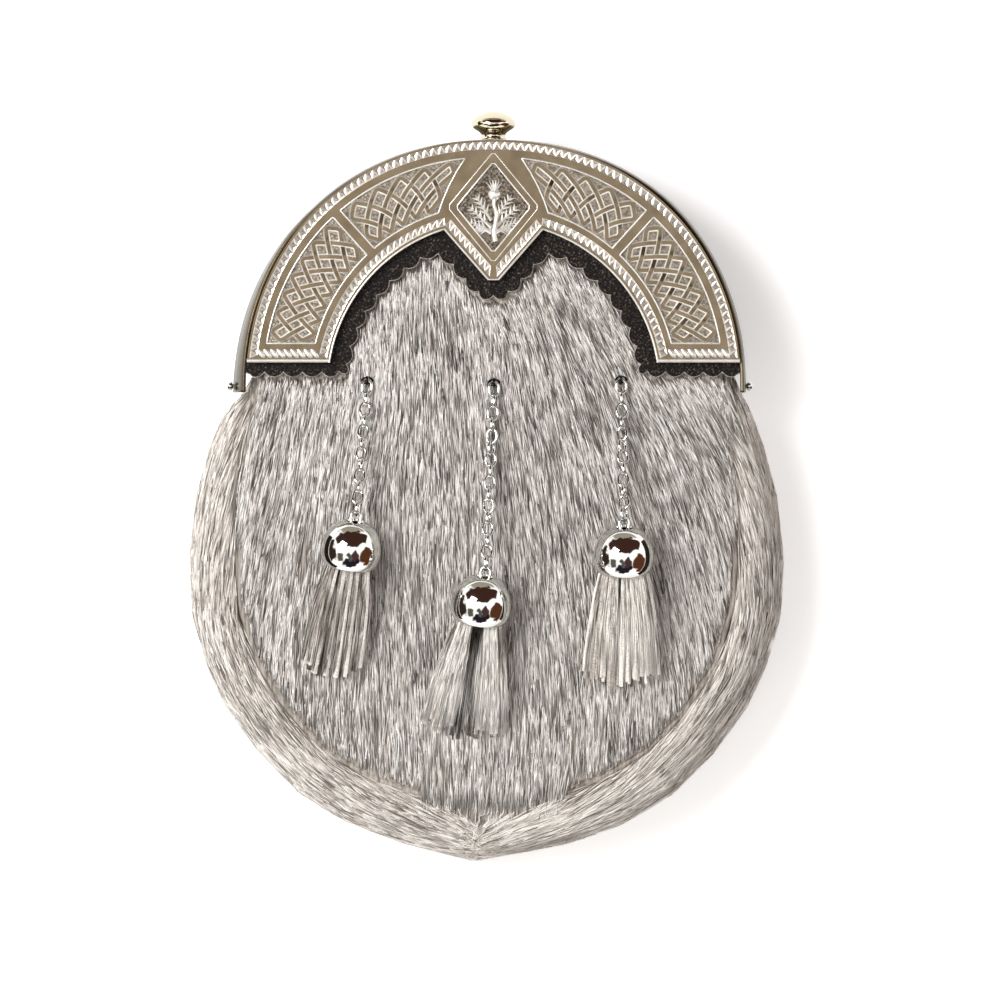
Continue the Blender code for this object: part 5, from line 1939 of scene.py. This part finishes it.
STYLES = {
    FringeStyle.RIBBONS: FringeCut(
        6, (-0.9, -0.2, 0.6), (1.6, 2.6), 1.2 * MM, (-74.0, -34.0), -16.0, 140, 0.56, 0.3, 0.14, 700, 0.62,
        pale_share=1.0),
    FringeStyle.TUFTS: FringeCut(
        14, (-0.9, -0.3, 0.25, 0.8), (0.9, 1.5), 0.6 * MM, (-35.0, 35.0), 30.0, 110, 0.95, 0.3, 0.1, 1500,
        0.92, pale_share=0.3, parting=0.24, loose_parting=0.21),
    FringeStyle.TWISTED: FringeCut(
        14, (-0.9, -0.3, 0.25, 0.8), (0.8, 1.3), 0.8 * MM, (-60.0, 60.0), 200.0, 40, 0.94, 0.3, 0.1, 1000,
        0.9, pale_share=0.55),
}


@dataclass
class Ornament:
    """One hanging ornament: a staple, its chain of oval links, a polished cap and a fringe of hide strips."""

    palette: Palette
    hide: BVHTree
    name: str
    eye: Vector
    place: Vector
    lean_deg: float
    spread: float
    length: float
    style: FringeStyle
    seed: int
    link_drift: float       # how much each link of six turns on from the one before it, in degrees
    tilt_deg: float = 17.0
    cap_radius: float = 10.2 * MM
    cap_height: float = 15.3 * MM
    cap_lowest: float = 8.9 * MM
    cap_wall: float = 0.8 * MM
    cap_hole: float = 2.7 * MM          # radius
    link_length: float = 5.7 * MM
    link_width: float = 4.4 * MM
    wire: float = 1.05 * MM
    staple_wire: float = 0.4 * MM       # radius
    pitch: float = 4.0 * MM
    first_link: float = 1.2 * MM        # from the eye
    last_link: float = 0.7 * MM         # over the cap's hole
    chain_lift: float = 2.7 * MM
    bare_height: float = 36.0 * MM      # where no hide lies under a place
    held_across: float = 0.72           # strips inside the cap, in shares of its radius
    held_high: float = 0.62
    held_deep: float = 2.0 * MM
    bend_down: float = 0.42             # where a strip bends, in shares of its length and half spread,
    bend_out: float = 0.16
    bend_high: float = 0.66             # and of its drop from the cap
    lowest_tip: float = 1.2 * MM        # over the hide
    layer_step: float = 1.5 * MM
    loose_over: float = 0.7 * MM        # loose hairs over the strips

    def __post_init__(self) -> None:
        """Work out where the cap lies, as it rests on the hide."""
        tilt, lean = radians(self.tilt_deg), radians(self.lean_deg)
        self.axis = Vector((sin(lean) * cos(tilt), cos(lean) * cos(tilt), sin(tilt)))
        self.down = Vector((-self.axis.x, -self.axis.y, 0.0)).normalized()
        middle = self.place - self.axis.to_2d() * (0.5 * self.cap_height)
        rest = max(self.ground(middle.x + shift * MM, middle.y) for shift in (-4.0, 0.0, 4.0))
        self.rim = Vector((middle.x, middle.y, rest + self.cap_lowest + 0.6 * MM))
        self.across = self.axis.cross(UP).normalized()
        self.over = self.across.cross(self.axis)
        self.rng = np.random.default_rng(self.seed)

    def ground(self, x: float, y: float) -> float:
        """Height of the hide at a place."""
        spot = self.hide.ray_cast(Vector((x, y, 0.1)), -UP, 0.1)[0]
        return spot.z if spot else self.bare_height

    def build(self) -> None:
        """Make the staple, the chain, the cap and the fringe."""
        self.staple()
        self.chain()
        self.cap()
        self.fringe()

    def staple(self) -> None:
        """Wire staple over the first link, its legs through the hide."""
        base = self.ground(self.eye.x, self.eye.y) - 0.2 * MM
        top = base + self.chain_lift + 1.6 * MM
        y = self.eye.y + 1.1 * MM
        legs = ((-1.25, base), (-1.25, top - 0.9 * MM), (-1.0, top - 0.3 * MM), (-0.5, top), (0.5, top),
                (1.0, top - 0.3 * MM), (1.25, top - 0.9 * MM), (1.25, base))
        route = smooth_loop([Vector((self.eye.x, y + shift * MM, z)) for shift, z in legs], 2, False)
        frames = []
        for before, spot, after in zip(route[:1] + route, route, route[1:] + route[-1:]):
            turn = (after - before).to_track_quat('Z', 'X').to_matrix().to_4x4()
            frames.append(Matrix.Translation(spot) @ turn)
        wire = sweep(oval(self.staple_wire, self.staple_wire, 10), frames, False)
        node = "chain_staple_" + self.name
        add_piece(node + "_wire", wire, [self.palette.blackened], [node], 60.0)
        # black flattened ring round the staple's hole: an eyelet that also paints the shade of the hole
        ring = wire_ring(1.75 * MM, 0.38 * MM, 0.3 * MM, 8)
        place = Matrix.Translation((self.eye.x, self.eye.y + 1.2 * MM, base + 1.3 * MM))
        bmesh.ops.transform(ring, matrix=place @ Matrix.Diagonal((1.0, 0.6, 1.0, 1.0)), verts=ring.verts)
        add_piece("hole_shade_eyelet_" + self.name + "_rim", ring, [self.palette.blackened],
                  smooth_deg=60.0)

    def route(self) -> list[Vector]:
        """Middle line of the chain: close to the hide at the staple, rising to the cap's hole.

        Returns:
            Its points.
        """
        last = self.rim + self.axis * (self.cap_height + self.last_link)
        end = last + self.axis * (0.5 * self.pitch)
        spots = []
        for step in range(61):
            share = step / 60.0
            spot = self.eye.lerp(end.to_2d(), share)
            low = self.ground(spot.x, spot.y) + self.chain_lift
            rise = max(0.0, (share - 0.12) / 0.88)
            spots.append(Vector((spot.x, spot.y, low + (end.z - low) * (0.5 * rise + 0.5 * rise * rise))))
        return spots

    def chain(self) -> None:
        """Interlocked oval links, every other one on edge."""
        walk = Walk(self.route())
        count = round((walk.length - self.first_link) / self.pitch - 0.5)
        even = (walk.length - self.first_link) / (count + 0.5)
        spots = [Vector(spot) for spot in walk.at(self.first_link + even * np.arange(count + 1)).tolist()]
        spots.append(self.rim + self.axis * (self.cap_height + self.last_link))
        links = bmesh.new()
        for index, spot in enumerate(spots):
            ahead = spots[min(index + 1, len(spots) - 1)]
            behind = spots[max(index - 1, 0)]
            along = (ahead - behind).normalized()
            turn = (90.0 if index % 2 else 0.0) + self.twist(index)
            self.link(links, spot, along, radians(turn))
        add_piece("chain_" + self.name + "_links", links, [self.palette.chrome],
                  ["chain_" + self.name], 60.0)

    def twist(self, index: int) -> float:
        """Turn of a link about the chain, in degrees, beyond its quarter turn."""
        return -12.0 + self.link_drift * (index % 6) + float(self.rng.uniform(-7.0, 7.0))

    def link(self, links: BMesh, spot: Vector, along: Vector, turn: float) -> None:
        """Add one link: a ring of round wire, drawn out along the chain.

        Args:
            links: bmesh to add to.
            spot: its middle.
            along: direction of the chain.
            turn: turn of its plane about the chain, in radians.
        """
        radius = 0.5 * self.wire
        half_width = 0.5 * self.link_width - radius
        ring = wire_ring(half_width, radius, radius, 10)
        stretch = 0.5 * (self.link_length - self.link_width)
        for vert in ring.verts:
            share = min(max(vert.co.y / (0.6 * half_width), -1.0), 1.0)
            vert.co.y += stretch * share
        across = along.cross(UP).normalized()
        basis = Matrix((across, along, across.cross(along))).transposed().to_4x4()
        place = Matrix.Translation(spot) @ basis @ Matrix.Rotation(turn, 4, 'Y')
        bmesh.ops.transform(ring, matrix=place, verts=ring.verts)
        join_in(links, ring)

    def stand(self, bm: BMesh) -> None:
        """Move a turned shape from the origin to the cap's rim and tilt."""
        turn = UP.rotation_difference(self.axis).to_matrix().to_4x4()
        bmesh.ops.transform(bm, matrix=Matrix.Translation(self.rim) @ turn, verts=bm.verts)

    def cap(self) -> None:
        """Polished bell cap with a rolled rim and a hole for the chain."""
        outer = smooth_rows(((0.84, 0.0), (0.875, 0.012), (0.93, 0.07), (0.975, 0.15), (1.0, 0.27),
                             (0.985, 0.42), (0.92, 0.58), (0.815, 0.715), (0.67, 0.84), (0.5, 0.93),
                             (0.34, 0.982), (0.28, 0.985)), 5)
        profile = [(radius * self.cap_radius, height * self.cap_height) for radius, height in outer]
        shrink = 1.0 - self.cap_wall / self.cap_height
        inner = [(max(radius - self.cap_wall, self.cap_hole), height * shrink)
                 for radius, height in reversed(profile)]
        bell = turned(profile + inner, 72, ring=True)
        self.stand(bell)
        node = "cap_" + self.name
        add_piece(node + "_bell", bell, [self.palette.chrome], [node], 60.0)

    def strip_route(self, share: float, layer: float, reach: float, lift: float) -> list[Vector]:
        """Middle line of a strip.

        Args:
            share: place across the fringe, -1 to 1.
            layer: place from the hide, -1, to the top, 1.
            reach: length as a share of the fringe's.
            lift: height of its tip over the hide.

        Returns:
            Points from inside the cap to the tip.
        """
        start = (self.rim + self.across * (share * self.held_across * self.cap_radius)
                 + self.over * (layer * self.held_high * self.cap_radius) + self.axis * self.held_deep)
        tip = self.rim + self.down * (self.length * reach) + self.across * (0.5 * self.spread * share)
        tip.z = self.ground(tip.x, tip.y) + lift
        bend = (start + self.down * (self.bend_down * self.length)
                + self.across * (self.bend_out * self.spread * share))
        bend.z = tip.z + (start.z - tip.z) * self.bend_high
        spots = []
        for step in range(11):
            t = step / 10.0
            spots.append(start * (1 - t) ** 2 + bend * (2 * t * (1 - t)) + tip * t * t)
        return spots

    def narrowing(self, layer: float) -> float:
        """Width of the fringe at a layer, as a share of its full width."""
        return sqrt(1.0 - 0.45 * layer * layer)

    def tip_lift(self, layer: float) -> float:
        """Height over the hide of a layer's tips."""
        return self.lowest_tip + self.layer_step * (layer + 1.0)

    def strips(self) -> list[Strip]:
        """Strips of the fringe, layer by layer from the hide up.

        Returns:
            The strips.
        """
        style, rows = STYLES[self.style], []
        for layer in style.layers:
            for index in range(style.count):
                share = -1.0 + 2.0 * (index + 0.5) / style.count + float(self.rng.uniform(-0.07, 0.07))
                share *= self.narrowing(layer)
                reach = 1.0 - 0.07 * abs(share) + float(self.rng.uniform(-style.raggedness, 0.02))
                # painted shade: hair of lower layers is darker
                painted_shade_tone = style.tone - 0.22 * (0.8 - layer)
                rows.append(Strip(share, layer, float(self.rng.uniform(*style.width_mm)) * MM, reach,
                                  float(self.rng.normal(painted_shade_tone, 0.12))))
        return rows

    def fringe(self) -> None:
        """Strips of hide with their hair."""
        style = STYLES[self.style]
        base = bmesh.new()
        hair = Strands()
        for strip in self.strips():
            parted = abs(strip.share - style.parting_at) < style.parting
            if parted and strip.layer > -0.5:
                continue
            route = self.strip_route(strip.share, strip.layer, strip.reach, self.tip_lift(strip.layer))
            twist = style.twist_deg * float(self.rng.uniform(0.6, 1.0))
            first = float(self.rng.uniform(*style.turn_deg))
            frames = [place @ Matrix.Rotation(radians(first + twist * index / 10.0), 4, 'Z')
                      for index, place in enumerate(frames_along(route, False))]
            half, thick = 0.5 * strip.width, 0.5 * style.thickness
            section = [(-half, -thick), (half, -thick), (half, thick), (-half, thick)]
            body = sweep(section, frames, False)
            plain_strip = int(self.rng.random() > style.pale_share)
            # strips of the lowest layer take the darker copy of the flesh side: painted shade under the upper
            # strips
            for face in body.faces:
                face.material_index = 2 if strip.layer < -0.5 else plain_strip
            join_in(base, body)
            # painted shade: strips left in the parting get near-black hair
            self.strip_hair(hair, route, frames, replace(strip, tone=0.05) if parted else strip)
        node = "tassel_" + self.name
        self.loose_hair(hair)
        finishes = [self.palette.hide_edge, self.palette.hide_strip, self.palette.painted_shade_strip]
        piece = add_piece(node + "_strips", base, finishes, [node], 30.0)
        add_bevel(piece, 0.12 * MM, segments=1)
        finish = self.palette.ribbon_hair if self.style is FringeStyle.RIBBONS else self.palette.cream_hair
        add_piece(node + "_hair", hair.mesh(), [finish], smooth_deg=180.0)
        self.plug()

    def loose_hair(self, hair: Strands) -> None:
        """Long single hairs that lie over and between the strips.

        Args:
            hair: batch to add to.
        """
        style = STYLES[self.style]
        rows: list[list[Vector]] = []
        for _ in range(style.loose):
            layer, share = float(self.rng.uniform(-0.8, 0.95)), float(self.rng.uniform(-1.0, 1.0))
            if abs(share - style.parting_at) < style.loose_parting and layer > -0.6:
                continue
            route = self.strip_route(share * self.narrowing(layer), layer,
                                     float(self.rng.uniform(0.82, 1.03)),
                                     self.tip_lift(layer) + self.loose_over)
            begin = int(self.rng.integers(1, 6))
            end = int(self.rng.integers(begin + 4, 11))
            drift = self.across * float(self.rng.normal(0.0, 0.5)) * MM
            rows.append([route[begin], route[(begin + end) // 2] + drift, route[end] + drift])
        count = len(rows)
        spots = np.array([[spot[:] for spot in row] for row in rows])
        tones = np.clip(self.rng.normal(style.loose_tone, 0.3, count), 0.0, 1.0)
        hair.add(root=spots[:, 0], mid=spots[:, 1], tip=spots[:, 2], up=np.tile(UP, (count, 1)),
                 radius=self.rng.uniform(0.13, 0.24, count) * MM, tone=tones)

    def plug(self) -> None:
        """Dark leather plug that holds the strips inside the cap."""
        radius = 0.8 * self.cap_radius
        bm = turned([(0.0, 1.5 * MM), (radius, 1.5 * MM), (radius, 6.0 * MM), (0.6 * radius, 11.0 * MM),
                     (0.0, 12.0 * MM)], 24)
        self.stand(bm)
        add_piece("tassel_" + self.name + "_plug", bm, [self.palette.leather], smooth_deg=40.0)

    def strip_hair(self, hair: Strands, route: Sequence[Vector], frames: Sequence[Matrix],
                   strip: Strip) -> None:
        """Hair on one strip: from its upper face, lying along it.

        Args:
            hair: batch to add to.
            route: middle line of the strip.
            frames: places of its section.
            strip: the strip.
        """
        style = STYLES[self.style]
        count = style.hairs
        table = np.array([[*spot, *place.col[0][:3], *place.col[1][:3]]
                          for spot, place in zip(route, frames)])
        places = np.linspace(0.0, 1.0, len(table))
        begin = self.rng.uniform(-0.1, 0.86, count)
        end = np.minimum(begin + self.rng.uniform(0.18, 0.34, count), self.rng.uniform(0.94, 1.03, count))
        side = self.rng.uniform(-0.48, 0.4, count) * strip.width
        rise = 0.5 * style.thickness + self.rng.uniform(0.0, 0.4, count) * MM
        spots = []
        for share, lift_share in ((begin, 0.2), (0.5 * (begin + end), 0.9), (end, 1.1)):
            rows = np.stack([np.interp(share, places, column) for column in table.T], axis=1)
            spot, across, up = np.split(rows, 3, axis=1)
            spots.append(spot + across * side[:, None] + up * (rise * lift_share + 0.15 * MM)[:, None])
        tones = np.clip(strip.tone + self.rng.normal(0.0, style.tone_spread, count), 0.0, 1.0)
        hair.add(root=spots[0], mid=spots[1], tip=spots[2], up=np.tile(UP, (count, 1)),
                 radius=self.rng.uniform(0.13, 0.2, count) * MM, tone=tones)


# ---- studio

@dataclass(frozen=True)
class RoomPatch:
    """Dark part of the white room, given by where a polished ball that is seen from above shows it."""

    across: float          # centre on the ball, in shares of its radius
    up: float
    half_width: float
    half_height: float
    colour: str
    softness: float = 0.12


@dataclass
class Studio:
    """Plain white floor, a soft white room with a few dark patches for the plating, and the camera."""

    aim: Vector = Vector((4.52 * MM, -4.86 * MM, 40.0 * MM))
    view_width: float = 335.0 * MM
    lens: float = 400.0
    sensor: float = 36.0
    room_strength: float = 1.85
    lamp_from_aim: Vector = Vector((-0.75, 0.35, 1.2))
    lamp_size: float = 0.6
    lamp_watts: float = 17.0
    card_x: float = 125.0 * MM
    card_y: float = -50.0 * MM
    card_z: float = 28.0 * MM
    card_half: tuple[float, float] = (26.0 * MM, 80.0 * MM)
    floor_drop: float = 0.2 * MM
    floor_half: float = 6.0
    ripple: float = 0.3             # how far the room's waviness moves the patches
    ripple_scale: float = 5.0
    patches: tuple[RoomPatch, ...] = (
        RoomPatch(0.0, 0.8, 1.3, 0.34, "#857f73", 0.3),
        RoomPatch(0.03, 0.32, 0.56, 0.26, "#33201a", 0.15),
        RoomPatch(-0.66, -0.02, 0.18, 0.44, "#2b211a", 0.3),
        RoomPatch(0.55, -0.2, 0.3, 0.29, "#4a2a1b", 0.2),
        RoomPatch(0.02, -0.36, 0.34, 0.2, "#1d181f", 0.2),
        RoomPatch(-0.02, -0.19, 0.12, 0.16, "#444642", 0.4),
        RoomPatch(0.16, -0.2, 0.12, 0.17, "#3f2b2c", 0.4),
        RoomPatch(-0.38, -0.22, 0.15, 0.16, "#4c4c40", 0.5))

    def build(self) -> None:
        """Make the floor, the room, the lamp and the camera."""
        self.floor()
        self.room()
        self.lamp()
        self.flags()
        self.camera()
        bpy.context.scene.view_settings.view_transform = 'Standard'

    def stage_sheet(self, name: str, place: Matrix, material: Material) -> Object:
        """Flat sheet of the studio, which isn't part of the pouch.

        Args:
            name: its name.
            place: its place, turn and half sizes.
            material: its material.

        Returns:
            The new object.
        """
        bm = bmesh.new()
        bmesh.ops.create_grid(bm, x_segments=1, y_segments=1, size=1.0, matrix=place)
        mesh = mesh_from(bm, name)
        mesh.materials.append(material)
        sheet = add_object(name, mesh)
        return sheet

    def floor(self) -> None:
        """Large matt white floor."""
        material, _, _ = Finish("white_paper").start(Base_Color=linear("#fbfbfb"), Roughness=0.9,
                                                     Emission_Color=(1.0, 1.0, 1.0, 1.0),
                                                     Emission_Strength=0.35)
        spread = Matrix.Diagonal((self.floor_half, self.floor_half, 1.0, 1.0))
        self.stage_sheet("floor", Matrix.Translation(-self.floor_drop * UP) @ spread, material)

    def room(self) -> None:
        """World that is near white, with the patches placed by direction."""
        world = bpy.data.worlds.new("soft_room")
        world.use_nodes = True
        tree = world.node_tree
        direction = add_node(tree, 'TexCoord').outputs["Generated"]
        halfway = add_node(tree, 'VectorMath', {"operation": 'ADD'}, {0: direction, 1: UP})
        mirror = add_node(tree, 'VectorMath', {"operation": 'NORMALIZE'}, {0: halfway.outputs["Vector"]})
        ripple = add_node(tree, 'TexNoise', inputs={"Vector": mirror.outputs["Vector"],
                                                    "Scale": self.ripple_scale, "Detail": 1.0})
        bent = add_node(tree, 'VectorMath', {"operation": 'MULTIPLY_ADD'},
                        {0: ripple.outputs["Color"], 1: (self.ripple, self.ripple, 0.0),
                         2: mirror.outputs["Vector"]})
        colour: Any = linear("#f8f7f5")
        middle = 0.5 * self.ripple      # the noise is 0.5 on average
        for patch in self.patches:
            gap = add_node(tree, 'VectorMath', {"operation": 'SUBTRACT'},
                           {0: bent.outputs["Vector"], 1: (patch.across + middle, patch.up + middle, 0.0)})
            scaled = add_node(tree, 'VectorMath', {"operation": 'MULTIPLY'},
                              {0: gap.outputs["Vector"],
                               1: (1.0 / patch.half_width, 1.0 / patch.half_height, 0.0)})
            away = add_node(tree, 'VectorMath', {"operation": 'LENGTH'}, {0: scaled.outputs["Vector"]})
            share = add_node(tree, 'MapRange', {"interpolation_type": 'SMOOTHSTEP'},
                             {"Value": away.outputs["Value"], "From Min": 1.0,
                              "From Max": 1.0 - patch.softness})
            mixed = add_node(tree, 'Mix', {"data_type": 'RGBA'},
                             {0: share.outputs["Result"], 6: colour, 7: linear(patch.colour)})
            colour = mixed.outputs[2]
        background = tree.nodes["Background"]
        tree.links.new(colour, background.inputs["Color"])
        background.inputs["Strength"].default_value = self.room_strength
        bpy.context.scene.world = world

    def lamp(self) -> None:
        """Large soft lamp high at the left."""
        light = bpy.data.lights.new("softbox", 'AREA')
        light.energy, light.size = self.lamp_watts, self.lamp_size
        lamp = add_object("softbox", light)
        lamp.location = self.aim + self.lamp_from_aim
        lamp.rotation_euler = (self.aim - lamp.location).to_track_quat('-Z', 'Y').to_euler()

    def flags(self) -> None:
        """Low dark cards beside the pouch that only polished metal shows, for the dark edges of the caps."""
        material, _, _ = Finish("dark_card").start(Base_Color=linear("#2c261f"), Roughness=0.9,
                                                   Specular_IOR_Level=0.0)
        for side in Side:
            turn = Matrix.Rotation(radians(-90.0 * side.value), 4, 'Y')
            place = Matrix.Translation((side.value * self.card_x, self.card_y, self.card_z)) @ turn
            card = self.stage_sheet("flag_card_" + side.name.lower(),
                                    place @ Matrix.Diagonal((*self.card_half, 1.0, 1.0)), material)
            card.visible_camera = card.visible_diffuse = card.visible_shadow = False

    def camera(self) -> None:
        """Camera straight over the pouch, as in the photograph."""
        data = bpy.data.cameras.new("camera")
        data.lens, data.sensor_width, data.clip_end = self.lens, self.sensor, 50.0
        camera = add_object("camera", data)
        distance = self.view_width * self.lens / self.sensor
        camera.location = self.aim + UP * distance
        bpy.context.scene.camera = camera


def main() -> None:
    """Build every sub-assembly in order."""
    logging.basicConfig(level=logging.INFO, format="%(message)s")
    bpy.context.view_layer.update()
    palette = Palette()
    Studio().build()
    HideBag(palette).build()
    LeatherBack(palette).build()
    FrameBand(palette).build()
    Cantle(palette).build()
    Apron(palette).build()
    Finial(palette).build()
    hide = node_tree("front_panel")
    rows = (("left", (-40.0, 34.0), (-44.9, -19.0), 9.0, 22.0, 39.2, FringeStyle.RIBBONS, 21, 3.0),
            ("centre", (2.5, 33.3), (-1.5, -37.5), 8.0, 30.0, 40.5, FringeStyle.TUFTS, 22, 7.0),
            ("right", (45.1, 34.3), (45.8, -21.1), 1.0, 26.0, 39.0, FringeStyle.TWISTED, 23, 9.0))
    for name, eye, place, lean, spread, length, *rest in rows:
        Ornament(palette, hide, name, Vector(eye) * MM, Vector(place) * MM, lean, spread * MM, length * MM,
                 *rest).build()


if __name__ == "__main__":
    main()
